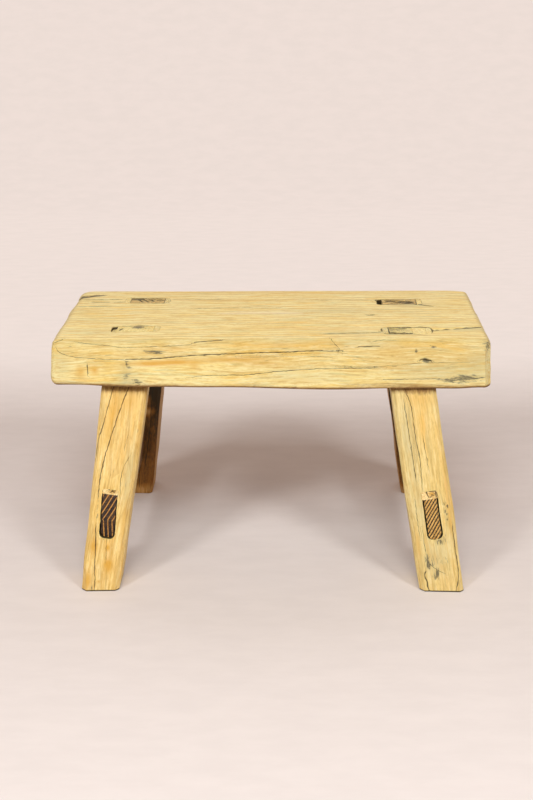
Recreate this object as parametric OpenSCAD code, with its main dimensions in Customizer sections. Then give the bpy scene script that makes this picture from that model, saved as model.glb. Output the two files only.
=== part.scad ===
// Four-legged wooden milking stool. The legs pass through the seat plank as wedged tenons, and a
// stretcher ties the front leg to the rear leg on each side, again with wedged through tenons.
// +X runs to the right along the seat, +Y runs from the front to the back, +Z is up.
// The origin is on the floor, under the middle of the stool.

/* [Seat] */
// Length of the seat plank along its underside
seat_len = 434; // [390:2:480]
// How much shorter the sitting face is than the underside, at each end
end_slope = 2; // [0:0.5:6]
// Depth of the seat plank, from front to back
seat_depth = 216; // [200:2:250]
// Thickness of the seat plank
seat_thick = 48; // [40:1:54]
// Height of the sitting face above the floor
seat_h = 245; // [225:1:280]
// Radius worn on the front top edge
front_edge_r = 12; // [6:1:14]
// Radius worn on the rear top edge
rear_edge_r = 5; // [3:1:14]
// Radius worn on the short top edges, over the end grain
short_edge_r = 7; // [3:1:9]
// Radius worn on the bottom edges
bottom_edge_r = 3; // [1:0.5:5]
// Plan radius of the two front corners
front_corner_r = 8; // [4:1:14]
// Plan radius of the rear left corner
rear_left_corner_r = 20; // [4:1:26]
// Plan radius of the rear right corner
rear_right_corner_r = 14; // [4:1:26]

/* [Legs] */
// Distance of each foot's centre from the middle of the stool, along X
foot_x = 170; // [160:1:176]
// Distance of each foot's centre from the middle of the stool, along Y
foot_y = 133; // [124:1:146]
// Distance of each seat tenon's centre from the middle, along X
tenon_x = 136; // [130:1:142]
// Distance of each seat tenon's centre from the middle, along Y
tenon_y = 60; // [56:1:66]
// How much nearer the front the two right-hand seat tenons are than the left-hand ones
right_shift = 8; // [0:1:10]
// Width of a leg under the seat
leg_w = 47; // [45:0.5:50]
// Thickness of a leg, from its outer face to its inner face
leg_t = 42; // [38:0.5:46]
// Width of the front left leg at the floor
front_left_foot_w = 37; // [34:0.5:45]
// Width of the front right leg at the floor
front_right_foot_w = 43; // [34:0.5:45]
// Width of the rear left leg at the floor
rear_left_foot_w = 48; // [34:0.5:50]
// Width of the rear right leg at the floor
rear_right_foot_w = 42; // [34:0.5:50]
// Chamfer along the four edges of a leg
leg_chamfer = 3.5; // [1:0.5:5]

/* [Seat joints] */
// Length of a seat mortise where it shows in the sitting face
mortise_len = 48; // [46:1:52]
// Width of a seat mortise
mortise_w = 22; // [20:1:26]
// Corner radius of a seat mortise
mortise_corner_r = 5; // [2:0.5:8]
// Length of a leg's tenon, between its two wedges
tenon_len = 37; // [34:0.5:40]
// Length of the packing piece that makes up the front right tenon on its outer side
packing_len = 13.5; // [8:0.5:16]

/* [Stretchers] */
// Height of the underside of a stretcher's tenons, measured up the leaning plane of the legs
stretcher_z = 51; // [46:1:64]
// Distance of a stretcher outward from the middle line of its legs
stretcher_out = 0.5; // [0:0.5:4]
// Height of a stretcher between the legs
stretcher_h = 50; // [48:1:58]
// Thickness of a stretcher between the legs
stretcher_t = 22; // [19:0.5:25]
// Thickness of a stretcher's tenon
stretcher_tenon_t = 15.5; // [14:0.5:18]
// Height of the left stretcher's tenon
left_tenon_h = 42; // [36:0.5:43]
// Height of the right stretcher's tenon
right_tenon_h = 39; // [36:0.5:43]
// Radius on the lower corners of a stretcher's tenon
tenon_corner_r = 5; // [2:0.5:7]
// Height of the mortise through a leg, for the tenon and its wedge
leg_mortise_h = 47; // [46:0.5:50]
// Depth of the bevel cut on the lower front end of the left stretcher
left_bevel = 4; // [0:0.5:6]

/* [Wedges] */
// Thickness of a wedge at its thin end
wedge_thin = 1; // [0.6:0.1:1.5]
// Depth that a stretcher wedge is driven in
wedge_drive = 36; // [28:1:38]
// Gap left on each side of a tenon or a wedge in its mortise
side_gap = 0.4; // [0.2:0.1:0.8]
// How far the front left outer wedge has sunk below the sitting face
front_left_sunk = 3; // [0:0.5:10]
// How far the rear right inner wedge has sunk below the sitting face
rear_right_sunk = 8; // [0:0.5:15]

/* [Hidden] */
$fn = 48;

// A side is -1 on the left and 1 on the right; an end is -1 at the front and 1 at the rear.
left = -1;
right = 1;
front = -1;
rear = 1;
// A wedge is on the outer flank of its tenon, towards the seat's end, or on the inner flank.
outer = 1;
inner = -1;

// Sideways lean of each pair of legs, and the distance up that leaning plane to the seat's faces.
lean = atan((foot_x - tenon_x) / seat_h);
side_len = seat_h / cos(lean);
seat_base = seat_h - seat_thick;
shoulder_len = seat_base / cos(lean);
// Extra length that a later cut trims away, and a size larger than the whole stool.
waste = 16;
big = 1000;
// Part of the tenon's height, from below, that the bevel on the left stretcher takes off.
bevel_share = 0.42;

// Where a leg's axis meets the sitting face, and its splay within the leaning plane.
function joint_y(side, end) = end * tenon_y - (side == right ? right_shift : 0);
function splay(side, end) = atan((foot_y - end * joint_y(side, end)) / side_len);
// Distance from the stool's middle plane to a face of a leg, at height z up the leaning plane.
function face_y(side, end, z, offset) =
    foot_y - z * tan(splay(side, end)) + offset / cos(splay(side, end));
function tenon_h(side) = side == left ? left_tenon_h : right_tenon_h;

// ---- Frames ----

// The leaning plane that holds the two legs and the stretcher of one side: local Y, Z lie in it.
module side_frame(side) {
    translate([side * foot_x, 0, 0]) rotate([0, -side * lean, 0]) children();
}

// One leg's own frame: local Z is the leg's axis and local X runs across its front face.
module leg_frame(side, end) {
    side_frame(side) translate([0, end * foot_y, 0])
        rotate([end * splay(side, end), 0, 0]) children();
}

// The space between two heights above the floor.
module between(low, high) {
    translate([-big / 2, -big / 2, low]) cube([big, big, high - low]);
}

// A 2-D side view, drawn in Y and Z, made into a solid of the given thickness about X = 0.
module side_view(thickness) {
    rotate([90, 0, 90]) linear_extrude(thickness, center = true) children();
}

// A 2-D front view, drawn in X and Z, made into a solid of the given depth about Y = 0.
module front_view(depth) {
    rotate([90, 0, 0]) linear_extrude(depth, center = true) children();
}

// ---- 2-D shapes ----

function unit(v) = v / norm(v);

// One corner of a rounded polygon: where the arc meets the edge before it and the edge after it,
// and the arc's centre.
function corner(before, at, after, r) =
    let (
        u = unit(before - at),
        v = unit(after - at),
        half = acos(u * v) / 2
    )
    [at + u * r / tan(half), at + v * r / tan(half), at + unit(u + v) * r / sin(half)];

// A convex polygon with each corner rounded to its own radius.
module rounded(points, radii) {
    n = len(points);
    corners = [
        for (i = [0:n - 1]) corner(points[(i + n - 1) % n], points[i], points[(i + 1) % n], radii[i])
    ];
    polygon([for (c = corners, k = [0, 1]) c[k]]);
    for (i = [0:n - 1]) translate(corners[i][2]) circle(radii[i]);
}

// The corners of a rectangle about the origin, from the lower left, anticlockwise.
function box_corners(w, h) = [[-w / 2, -h / 2], [w / 2, -h / 2], [w / 2, h / 2], [-w / 2, h / 2]];

// A rectangle about the origin with its four corners cut off at 45 degrees.
module chamfered(w, h, cut) {
    x = w / 2;
    y = h / 2;
    polygon([
        [-x, -y + cut], [-x + cut, -y], [x - cut, -y], [x, -y + cut],
        [x, y - cut], [x - cut, y], [-x + cut, y], [-x, y - cut]
    ]);
}

// ---- Seat ----

// Front view of a seat mortise, which widens from the underside to above the sitting face.
module mortise_flare(low_z, high_z) {
    low = tenon_len / 2 + wedge_thin;
    high = mortise_len / 2;
    grow = (high - low) / (high_z - low_z);
    over = high + waste * grow;
    under = low - waste * grow;
    polygon([
        [-under, low_z - waste], [under, low_z - waste],
        [over, high_z + waste], [-over, high_z + waste]
    ]);
}

// The space that a leg's tenon and its two wedges fill.
module seat_mortise(side, end) {
    stretch = 1 / cos(splay(side, end));
    high = side_len * stretch;
    leg_frame(side, end) intersection() {
        translate([0, 0, high / 2]) linear_extrude(high)
            rounded(box_corners(mortise_len, mortise_w), [for (i = [0:3]) mortise_corner_r]);
        front_view(big) mortise_flare(shoulder_len * stretch, high);
    }
}

module seat_plank() {
    plan_radii = [front_corner_r, front_corner_r, rear_right_corner_r, rear_left_corner_r];
    long_radii = [bottom_edge_r, bottom_edge_r, rear_edge_r, front_edge_r];
    short_radii = [bottom_edge_r, bottom_edge_r, short_edge_r, short_edge_r];
    top_x = seat_len / 2 - end_slope;
    color("khaki") difference() {
        intersection() {
            translate([0, 0, seat_base]) linear_extrude(seat_thick)
                rounded(box_corners(seat_len, seat_depth), plan_radii);
            side_view(seat_len) translate([0, seat_base + seat_thick / 2])
                rounded(box_corners(seat_depth, seat_thick), long_radii);
            front_view(seat_depth) rounded([
                [-seat_len / 2, seat_base], [seat_len / 2, seat_base],
                [top_x, seat_h], [-top_x, seat_h]
            ], short_radii);
        }
        for (side = [left, right], end = [front, rear]) seat_mortise(side, end);
    }
}

// ---- Legs ----

// The blank of a leg, seen from one flank: a wide chamfered bar laid along that tapered flank.
module leg_flank(flank, foot_w, length) {
    taper = atan((leg_w - foot_w) / 2 / length);
    translate([flank * foot_w / 2, 0, 0]) rotate([0, flank * taper, 0])
        translate([-flank * leg_w, 0, -waste]) linear_extrude(length + 2 * waste)
            chamfered(2 * leg_w, leg_t, leg_chamfer);
}

// The mortise through a leg: the stretcher's tenon below, and the wedge's space above it.
module leg_mortise(side, end) {
    side_frame(side) {
        stretcher_tenon(side, stretcher_tenon_t + 2 * side_gap);
        wedge_bar(side, end, stretcher_tenon_t + 2 * side_gap);
    }
}

// The part of a leg that stands in the seat: its length along the leg's width can be cut short
// on the outer flank.
module seat_tenon(side, end, cut) {
    length = side_len / cos(splay(side, end));
    intersection() {
        leg_frame(side, end) translate([-side * cut / 2, 0, length])
            cube([tenon_len - cut, mortise_w - 2 * side_gap, 4 * seat_thick], center = true);
        between(seat_base - waste / 4, seat_h);
    }
}

module leg(side, end, foot_w, cut) {
    length = side_len / cos(splay(side, end));
    color("burlywood") difference() {
        union() {
            intersection() {
                leg_frame(side, end) leg_flank(left, foot_w, length);
                leg_frame(side, end) leg_flank(right, foot_w, length);
                between(0, seat_base);
            }
            seat_tenon(side, end, cut);
        }
        leg_mortise(side, end);
    }
}

// ---- Stretchers ----

// A bar as long as the stool is deep, with a stretcher tenon's section, in the side frame.
module stretcher_tenon(side, thickness) {
    h = tenon_h(side);
    r = tenon_corner_r;
    translate([side * stretcher_out, 0, 0]) front_view(big) translate([0, stretcher_z + h / 2])
        rounded(box_corners(thickness, h), [r, r, r / 10, r / 10]);
}

// Side view of a stretcher, cut off at the given distance outside the middle of each leg.
module stretcher_side(side, low, high, offset, bevel) {
    kink_z = stretcher_z + bevel_share * tenon_h(side);
    kink = bevel > 0 ? [[-face_y(side, front, kink_z, offset), kink_z]] : [];
    polygon(concat([
        [-face_y(side, front, low, offset) + bevel, low], [face_y(side, rear, low, offset), low],
        [face_y(side, rear, high, offset), high], [-face_y(side, front, high, offset), high]
    ], kink));
}

module stretcher(side, bevel) {
    low = stretcher_z - (stretcher_h - tenon_h(side)) / 2;
    color("saddlebrown") side_frame(side) {
        intersection() {
            side_view(big)
                stretcher_side(side, stretcher_z, stretcher_z + tenon_h(side), leg_t / 2, bevel);
            stretcher_tenon(side, stretcher_tenon_t);
        }
        intersection() {
            side_view(big) stretcher_side(side, low, low + stretcher_h, -leg_t / 2, 0);
            translate([side * stretcher_out, 0, 0]) front_view(big)
                translate([0, low + stretcher_h / 2]) chamfered(stretcher_t, stretcher_h, 2);
        }
    }
}

// ---- Wedges ----

// The tapering bar above a stretcher's tenon, thick at the leg's outer face and thin inside.
// It runs on past the outer face.
module wedge_bar(side, end, width) {
    top = stretcher_z + tenon_h(side);
    out = face_y(side, end, top, leg_t / 2);
    thick = leg_mortise_h - tenon_h(side);
    grow = (thick - wedge_thin) / wedge_drive;
    translate([side * stretcher_out, 0, 0]) side_view(width) scale([end, 1]) polygon([
        [out - wedge_drive, top], [out + waste, top],
        [out + waste, top + thick + waste * grow], [out - wedge_drive, top + wedge_thin]
    ]);
}

module stretcher_wedge(side, end) {
    color("wheat") intersection() {
        side_frame(side) wedge_bar(side, end, stretcher_tenon_t - 2 * side_gap);
        leg_frame(side, end) cube([big, leg_t, big], center = true);
    }
}

// One of the two wedges beside a leg's tenon in the seat, its head the given depth below the seat.
module seat_wedge(side, end, flank, depth) {
    color("wheat") intersection() {
        seat_mortise(side, end);
        leg_frame(side, end) translate([side * flank * (tenon_len / 2 + big / 2), 0, 0])
            cube([big, mortise_w - 2 * side_gap, big], center = true);
        between(seat_base, seat_h - depth);
    }
}

// The block that fills the front right mortise between the shortened tenon and the outer wedge.
module packing() {
    color("tan") intersection() {
        seat_tenon(right, front, 0);
        leg_frame(right, front) translate([tenon_len / 2 - packing_len / 2, 0, 0])
            cube([packing_len, big, big], center = true);
        between(seat_base, seat_h);
    }
}

seat_plank();
leg(left, front, front_left_foot_w, 0);  // front_left_leg
leg(right, front, front_right_foot_w, packing_len);  // front_right_leg
leg(left, rear, rear_left_foot_w, 0);  // rear_left_leg
leg(right, rear, rear_right_foot_w, 0);  // rear_right_leg
stretcher(left, left_bevel);  // left_stretcher
stretcher(right, 0);  // right_stretcher
seat_wedge(left, front, outer, front_left_sunk);  // front_left_outer_wedge
seat_wedge(left, front, inner, 0);  // front_left_inner_wedge
seat_wedge(right, front, outer, 0);  // front_right_outer_wedge
seat_wedge(right, front, inner, 0);  // front_right_inner_wedge
packing();  // front_right_packing
seat_wedge(left, rear, outer, 0);  // rear_left_outer_wedge
seat_wedge(left, rear, inner, 0);  // rear_left_inner_wedge
seat_wedge(right, rear, outer, 0);  // rear_right_outer_wedge
seat_wedge(right, rear, inner, rear_right_sunk);  // rear_right_inner_wedge
stretcher_wedge(left, front);  // front_left_stretcher_wedge
stretcher_wedge(right, front);  // front_right_stretcher_wedge
stretcher_wedge(left, rear);  // rear_left_stretcher_wedge
stretcher_wedge(right, rear);  // rear_right_stretcher_wedge
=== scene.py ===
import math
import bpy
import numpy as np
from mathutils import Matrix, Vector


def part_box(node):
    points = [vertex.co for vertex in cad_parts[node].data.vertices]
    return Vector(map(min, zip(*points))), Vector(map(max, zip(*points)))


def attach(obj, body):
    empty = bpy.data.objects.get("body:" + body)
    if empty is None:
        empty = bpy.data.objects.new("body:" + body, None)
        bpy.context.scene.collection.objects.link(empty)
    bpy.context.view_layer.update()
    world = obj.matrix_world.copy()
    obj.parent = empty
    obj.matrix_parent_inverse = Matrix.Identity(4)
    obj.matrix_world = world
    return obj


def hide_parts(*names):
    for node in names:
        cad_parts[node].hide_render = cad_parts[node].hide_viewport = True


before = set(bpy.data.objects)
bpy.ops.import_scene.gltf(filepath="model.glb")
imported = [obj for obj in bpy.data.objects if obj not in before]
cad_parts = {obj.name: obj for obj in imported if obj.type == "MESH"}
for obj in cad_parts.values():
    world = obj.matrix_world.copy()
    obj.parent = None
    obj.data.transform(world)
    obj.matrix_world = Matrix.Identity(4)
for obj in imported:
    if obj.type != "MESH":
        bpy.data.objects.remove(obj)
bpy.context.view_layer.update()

# A low wooden milking stool: one thick seat plank, four splayed legs let through it and wedged,
# and a stretcher on each side that is tenoned and wedged through its two legs. It is put together
# here in that order. Shapes are worked out in millimetres and go into the meshes in metres.


# ---------------------------------------------------------------- seat plank
# One thick board of pale close-grained wood, hewn and planed by hand, with its long arrises worn
# round, its ends sawn a little out of square, and drying cracks, pits and stains from long use.
# Four mortises go right through it for the legs.
MM = 0.001
SEAT_LOW, SEAT_HIGH = (np.array(corner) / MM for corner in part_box("seat_plank"))
SEAT_TOP = SEAT_HIGH[2]
SEAT_BASE = SEAT_LOW[2]
SEAT_FRONT = SEAT_LOW[1]
SEAT_BACK = SEAT_HIGH[1]
END_SLOPE = 2.0
HALF_TOP = SEAT_HIGH[0] - END_SLOPE
FRONT_ROUND = 12.0
BACK_ROUND = 5.0
TOP_TRUENESS = 0.8  # how much flatter the sitting face is planed than the others
SINES, SINES_SPREAD = 8, 2.6


def ease(low, high, value):
    """0 below low, 1 above high, and 3t^2 - 2t^3 of the share t of the way between them."""
    share = np.clip((value - low) / (high - low), 0.0, 1.0)
    return share * share * (3.0 - 2.0 * share)


def wander(seed, size, *axes):
    """Smooth noise of about -1 to 1: a sum of eight sines of lengths around size, whose directions
    and phases come from the seed."""
    draw = np.random.default_rng(seed)
    total = 0.0
    for _ in range(SINES):
        way = draw.normal(size=len(axes))
        way *= draw.uniform(0.6, 1.7) * 2.0 * math.pi / size / np.linalg.norm(way)
        total = total + np.sin(sum(w * a for w, a in zip(way, axes)) + draw.uniform(0, 2 * math.pi))
    return total / SINES_SPREAD


def hand_planed(x, y, z):
    """How far a hewn face rises and dips in millimetres: long waves, and a third as much in short
    ones, both longer along the plank than across it."""
    return 0.45 * wander(3, 70.0, x * 0.5, y, z) + 0.22 * wander(4, 17.0, x * 0.25, y, z)


def rounded_rings(low_a, high_a, low_b, high_b, radii, sides, arcs, flat=0.0):
    """Rounded rectangles, one row for each station. From corner to corner anticlockwise: a quarter
    circle of that corner's radius, drawn towards its chord by flat, then the straight side.
    The limits and radii are columns, so every station can have its own."""
    low_a, high_a, low_b, high_b, *radii = np.broadcast_arrays(low_a, high_a, low_b, high_b, *radii)
    corner_a = (low_a, high_a, high_a, low_a)
    corner_b = (low_b, low_b, high_b, high_b)
    inward_a = (1, -1, -1, 1)
    inward_b = (1, 1, -1, -1)
    a_parts, b_parts, ends = [], [], []
    for k in range(4):
        share = np.linspace(0.0, 1.0, arcs[k] + 1)[None, :]
        turn = math.pi * (1.0 + 0.5 * k) + 0.5 * math.pi * share
        centre_a = corner_a[k] + inward_a[k] * radii[k]
        centre_b = corner_b[k] + inward_b[k] * radii[k]
        arc_a = centre_a + radii[k] * np.cos(turn)
        arc_b = centre_b + radii[k] * np.sin(turn)
        chord_a = arc_a[:, :1] * (1 - share) + arc_a[:, -1:] * share
        chord_b = arc_b[:, :1] * (1 - share) + arc_b[:, -1:] * share
        ends.append((arc_a * (1 - flat) + chord_a * flat, arc_b * (1 - flat) + chord_b * flat))
    for k in range(4):
        arc_a, arc_b = ends[k]
        next_a, next_b = ends[(k + 1) % 4]
        share = np.linspace(0.0, 1.0, sides[k] + 1)[None, 1:-1]
        a_parts += [arc_a, arc_a[:, -1:] * (1 - share) + next_a[:, :1] * share]
        b_parts += [arc_b, arc_b[:, -1:] * (1 - share) + next_b[:, :1] * share]
    return np.concatenate(a_parts, axis=1), np.concatenate(b_parts, axis=1)


def with_end_caps(rings, steps, bulge):
    """Adds to a stack of rings the rings that close its two ends: copies of the end ring shrunk
    towards its middle, standing out by bulge times one less the square of the shrink."""
    first_mid = rings[:1].mean(axis=1, keepdims=True)
    last_mid = rings[-1:].mean(axis=1, keepdims=True)
    way = (last_mid - first_mid) / np.linalg.norm(last_mid - first_mid)
    size = np.linspace(1.0, 0.0, steps + 1)[1:-1, None, None]
    first = first_mid + (rings[:1] - first_mid) * size - way * bulge * (1 - size * size)
    last = last_mid + (rings[-1:] - last_mid) * size + way * bulge * (1 - size * size)
    return np.concatenate([first[::-1], rings, last], axis=0)


def ring_normals(rings):
    """The outward direction at each point: the cross product of the step to the next ring and the
    step round the ring."""
    along = np.gradient(rings, axis=0)
    around = np.roll(rings, -1, axis=1) - np.roll(rings, 1, axis=1)
    normal = np.cross(around, along)
    normal /= np.maximum(np.linalg.norm(normal, axis=2, keepdims=True), 1e-9)
    middle = rings.mean(axis=1, keepdims=True)
    outward = np.sum(normal * (rings - middle)) > 0
    return normal if outward else -normal


def new_piece(name, points, faces, marks=None):
    """A mesh object at the origin from points in millimetres, quads and triangles in one list of
    index arrays, and marks, the named values that its finish reads at each point."""
    mesh = bpy.data.meshes.new(name)
    mesh.vertices.add(len(points))
    mesh.vertices.foreach_set("co", (np.asarray(points) * MM).ravel())
    loops = np.concatenate([f.ravel() for f in faces])
    sizes = np.concatenate([np.full(len(f), f.shape[1]) for f in faces])
    mesh.loops.add(len(loops))
    mesh.loops.foreach_set("vertex_index", loops.astype(np.int32))
    mesh.polygons.add(len(sizes))
    mesh.polygons.foreach_set("loop_start", (np.cumsum(sizes) - sizes).astype(np.int32))
    mesh.update(calc_edges=True)
    for mark, values in (marks or {}).items():
        layer = mesh.attributes.new(mark, "FLOAT", "POINT")
        layer.data.foreach_set("value", np.asarray(values, dtype=np.float32).ravel())
    mesh.validate()
    mesh.shade_smooth()
    piece = bpy.data.objects.new(name, mesh)
    bpy.context.scene.collection.objects.link(piece)
    return piece


def closed_skin(name, rings, marks=None):
    """A closed mesh from a stack of rings: quads between rings, and a fan of triangles on a middle
    point at each end. The faces are turned round if the volume they close comes out negative."""
    rows, count, _ = rings.shape
    here = np.arange(count)
    after = (here + 1) % count
    row = np.arange(rows - 1)[:, None] * count
    quads = np.stack([row + here, row + after, row + count + after, row + count + here], axis=-1)
    quads = quads.reshape(-1, 4)
    first, last = rows * count, rows * count + 1
    top = (rows - 1) * count
    fans = np.concatenate([
        np.stack([np.full(count, first), after, here], axis=-1),
        np.stack([np.full(count, last), top + here, top + after], axis=-1),
    ])
    points = np.concatenate([rings.reshape(-1, 3), rings[:1].mean(axis=1), rings[-1:].mean(axis=1)])
    a, b, c, d = (points[quads[:, k]] for k in range(4))
    volume = np.sum(a * np.cross(b, c)) + np.sum(a * np.cross(c, d))
    if volume < 0:
        quads, fans = quads[:, ::-1], fans[:, ::-1]
    ended = {}
    for mark, values in (marks or {}).items():
        flat = values.reshape(rows, count)
        ended[mark] = np.concatenate([flat.ravel(), [flat[0].mean(), flat[-1].mean()]])
    return new_piece(name, points, [quads, fans], ended)


def smooth_path(stations, step=2.0):
    """A curve through the stations: on each stretch the Catmull-Rom cubic of its two ends and
    their neighbours, cut into steps of about the given length."""
    stations = np.asarray(stations, dtype=float)
    padded = np.concatenate([2 * stations[:1] - stations[1:2], stations,
                             2 * stations[-1:] - stations[-2:-1]])
    pieces = []
    for k in range(len(stations) - 1):
        before, start, end, beyond = padded[k:k + 4]
        cuts = max(2, int(np.linalg.norm(end - start) / step))
        t = np.linspace(0.0, 1.0, cuts, endpoint=False)[:, None]
        pieces.append(0.5 * (2 * start + (end - before) * t
                             + (2 * before - 5 * start + 4 * end - beyond) * t ** 2
                             + (3 * start - before - 3 * end + beyond) * t ** 3))
    return np.concatenate(pieces + [stations[-1:]])


SKIN = 3.0
FAR_OFF = 9.0  # the distance across a crack, in half widths, that stands for no crack
CRACK_REACH, CRACK_NEAR = 9.0, 2.6


def across_path(points, normals, path):
    """For every point, its distance along the surface from the nearest stretch of the path,
    positive on the path's left as seen from outside, and the share of the way along the path where
    that is. The path may lie up to SKIN off the surface: only what is beyond that is added."""
    best = np.full(len(points), 1e6)
    side = np.ones(len(points))
    share = np.zeros(len(points))
    steps = np.linalg.norm(np.diff(path, axis=0), axis=1)
    done = np.concatenate([[0.0], np.cumsum(steps)]) / steps.sum()
    for k in range(len(path) - 1):
        stretch = path[k + 1] - path[k]
        t = np.clip((points - path[k]) @ stretch / (stretch @ stretch), 0.0, 1.0)
        off = points - path[k] - t[:, None] * stretch
        off_skin = np.sum(off * normals, axis=1)
        along_skin = np.sqrt(np.maximum(np.sum(off * off, axis=1) - off_skin ** 2, 0.0))
        gap = np.hypot(along_skin, np.maximum(np.abs(off_skin) - SKIN, 0.0))
        nearer = gap < best
        best = np.where(nearer, gap, best)
        turn = np.sum(np.cross(normals, np.broadcast_to(stretch, points.shape)) * off, axis=1)
        side = np.where(nearer, np.where(turn >= 0, 1.0, -1.0), side)
        share = np.where(nearer, done[k] + t * (done[k + 1] - done[k]), share)
    return best * side, share


def cut_cracks(points, normals, cracks, seed):
    """Draws cracks on a surface. Each is (stations, half width, depth). Returns how far each point
    sinks, depth times exp(-(distance / valley width)^2), and two marks: crack_side, the distance
    across the nearest crack in half widths, and crack_near, 1 on a crack fading to 0 beside it."""
    side = np.full(len(points), FAR_OFF)
    near = np.zeros(len(points))
    sink = np.zeros(len(points))
    for number, (stations, half_width, depth) in enumerate(cracks):
        path = smooth_path(stations)
        pick = np.nonzero(np.all((points > path.min(axis=0) - CRACK_REACH)
                                 & (points < path.max(axis=0) + CRACK_REACH), axis=1))[0]
        if len(pick) == 0:
            continue
        gap, share = across_path(points[pick], normals[pick], path)
        gap = gap + 0.22 * wander(seed + number, 5.0, *points[pick].T)
        taper = np.sqrt(np.clip(np.minimum(share, 1.0 - share) * 12.0, 0.05, 1.0))
        ragged = 1.0 + 0.3 * wander(seed + 50 + number, 9.0, *points[pick].T)
        wide = half_width * taper * np.clip(ragged, 0.35, 1.8)
        here = np.exp(-(gap / CRACK_NEAR) ** 2)
        wins = here > near[pick]
        side[pick] = np.where(wins, np.clip(gap / wide, -FAR_OFF, FAR_OFF), side[pick])
        near[pick] = np.maximum(near[pick], here)
        valley = np.maximum(half_width * 1.3, 0.7)
        sink[pick] = np.maximum(sink[pick], depth * taper * np.exp(-(gap / valley) ** 2))
    return sink, side, near


def patches(points, spots):
    """Adds up soft patches: each (centre, reach along x, y, z, strength) is the strength times
    exp(-distance^2), the distance counted in reaches."""
    total = np.zeros(len(points))
    for centre, reach, strength in spots:
        away = (points - np.array(centre)) / np.array(reach)
        total += strength * np.exp(-np.sum(away * away, axis=1))
    return total


def spots(place, *rows):
    """Patches on a face. A row gives the middle's two places on the face, the reach along x, y and
    z, the strength and, where the middle isn't in the face, how far along y or z it is off it."""
    return [(place(*row[:2], sum(row[6:])), row[2:5], row[5]) for row in rows]


def on_front_face(x, z, off=0.0):
    return x, SEAT_FRONT + off, z


def on_sitting_face(x, y, off=0.0):
    return x, y, SEAT_TOP + off


def front_face_y(height):
    """How far forward the seat's front is at a height: flat below, a quarter circle at the top."""
    rise = np.clip(np.asarray(height) - (SEAT_TOP - FRONT_ROUND), 0.0, FRONT_ROUND)
    return SEAT_FRONT + FRONT_ROUND - np.sqrt(FRONT_ROUND ** 2 - rise ** 2)


def on_front(*stations):
    """Stations given along and up the seat's front face, as points in space."""
    return [(x, float(front_face_y(min(z, SEAT_TOP))), min(z, SEAT_TOP)) for x, z in stations]


def on_top(*stations):
    """Stations given along and across the sitting face, as points in space."""
    return [(x, y, SEAT_TOP) for x, y in stations]


def cracks_on(place, *rows):
    """Cracks on a face: each row gives the half width, the depth and the stations."""
    return [(place(*stations), half_width, depth) for half_width, depth, *stations in rows]


# Stations along the plank stand close together at its ends, where it rounds over.
end_steps = np.array([0, 0.15, 0.5, 1.1, 1.9, 3.0, 4.3, 6.0, 8.0, 10.0, 12.0])
middle_steps = np.arange(14.0, 2 * HALF_TOP - 13.0, 2.08)
from_left = np.concatenate([end_steps, middle_steps, 2 * HALF_TOP - end_steps[::-1]])[:, None]
from_right = 2 * HALF_TOP - from_left
station_x = from_left - HALF_TOP


def corner_shrink(distance, reach, inset, flat=0.0):
    """How far a side draws in near an end: a quarter ellipse with the given reach along the side
    and inset across it, drawn towards its chord by flat."""
    share = np.clip(distance / reach, 0.0, 1.0)
    curve = 1.0 - np.sqrt(1.0 - (1.0 - share) ** 2)
    return inset * (curve * (1 - flat) + (1.0 - share) * flat)


# Reach along the plank and inset where each side turns into the ends. The rear corners are worn
# most, and the front right one is sawn off straight.
LEFT_TURN = dict(front=(7.0, 6.0), back=(14.0, 28.0), top=(7.0, 6.0), base=(6.0, 6.0))
RIGHT_TURN = dict(front=(6.0, 6.5, 1.0), back=(26.0, 13.0), top=(6.0, 5.0), base=(3.0, 3.0))
left_in = {face: corner_shrink(from_left, *turn) for face, turn in LEFT_TURN.items()}
right_in = {face: corner_shrink(from_right, *turn) for face, turn in RIGHT_TURN.items()}
front_y = SEAT_FRONT + left_in["front"] + right_in["front"]
back_y = SEAT_BACK - left_in["back"] - right_in["back"]
top_z = SEAT_TOP - left_in["top"] - right_in["top"]
base_z = SEAT_BASE + left_in["base"] + right_in["base"]
near_end = np.minimum(from_left, from_right)
squeeze = np.clip(near_end / 6.0, 0.25, 1.0)
bottom_round = 2.5 + 3.0 * ease(60.0, 0.0, from_left)
radii = (bottom_round, 3.0, BACK_ROUND * squeeze, FRONT_ROUND * np.clip(squeeze, 0.6, 1.0))
ring_y, ring_z = rounded_rings(front_y, back_y, base_z, top_z, radii,
                               sides=(50, 24, 158, 44), arcs=(5, 4, 6, 22))
ring_x = np.broadcast_to(station_x, ring_y.shape)
seat_rings = np.stack([ring_x, ring_y, ring_z], axis=-1)
seat_rings = with_end_caps(seat_rings, steps=11, bulge=0.8)

# The ends spread towards the underside, and the lower front arris is worn away at the left.
x, y, z = (seat_rings[..., k] for k in range(3))
below = (SEAT_TOP - z) / (SEAT_TOP - SEAT_BASE)
end_share = ease(HALF_TOP - 40.0, HALF_TOP, np.abs(x))
x += np.sign(x) * end_share * END_SLOPE * below
low_front = ease(0.5, 1.0, below) * ease(SEAT_FRONT + 14.0, SEAT_FRONT + 2.0, y)
z += low_front * (3.2 * ease(-120.0, -200.0, x) + 0.9 * ease(-60.0, -130.0, x))
z -= low_front * 1.6 * ease(-60.0, 110.0, x) * ease(208.0, 180.0, x)

# Hand-planed faces are never quite flat, least of all the front; the sitting face is kept truest.
normals = ring_normals(seat_rings)
up_share = np.clip(normals[..., 2], 0.0, 1.0)
seat_rings += normals * (hand_planed(x, y, z) * (1.0 - TOP_TRUENESS * up_share))[..., None]

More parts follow.
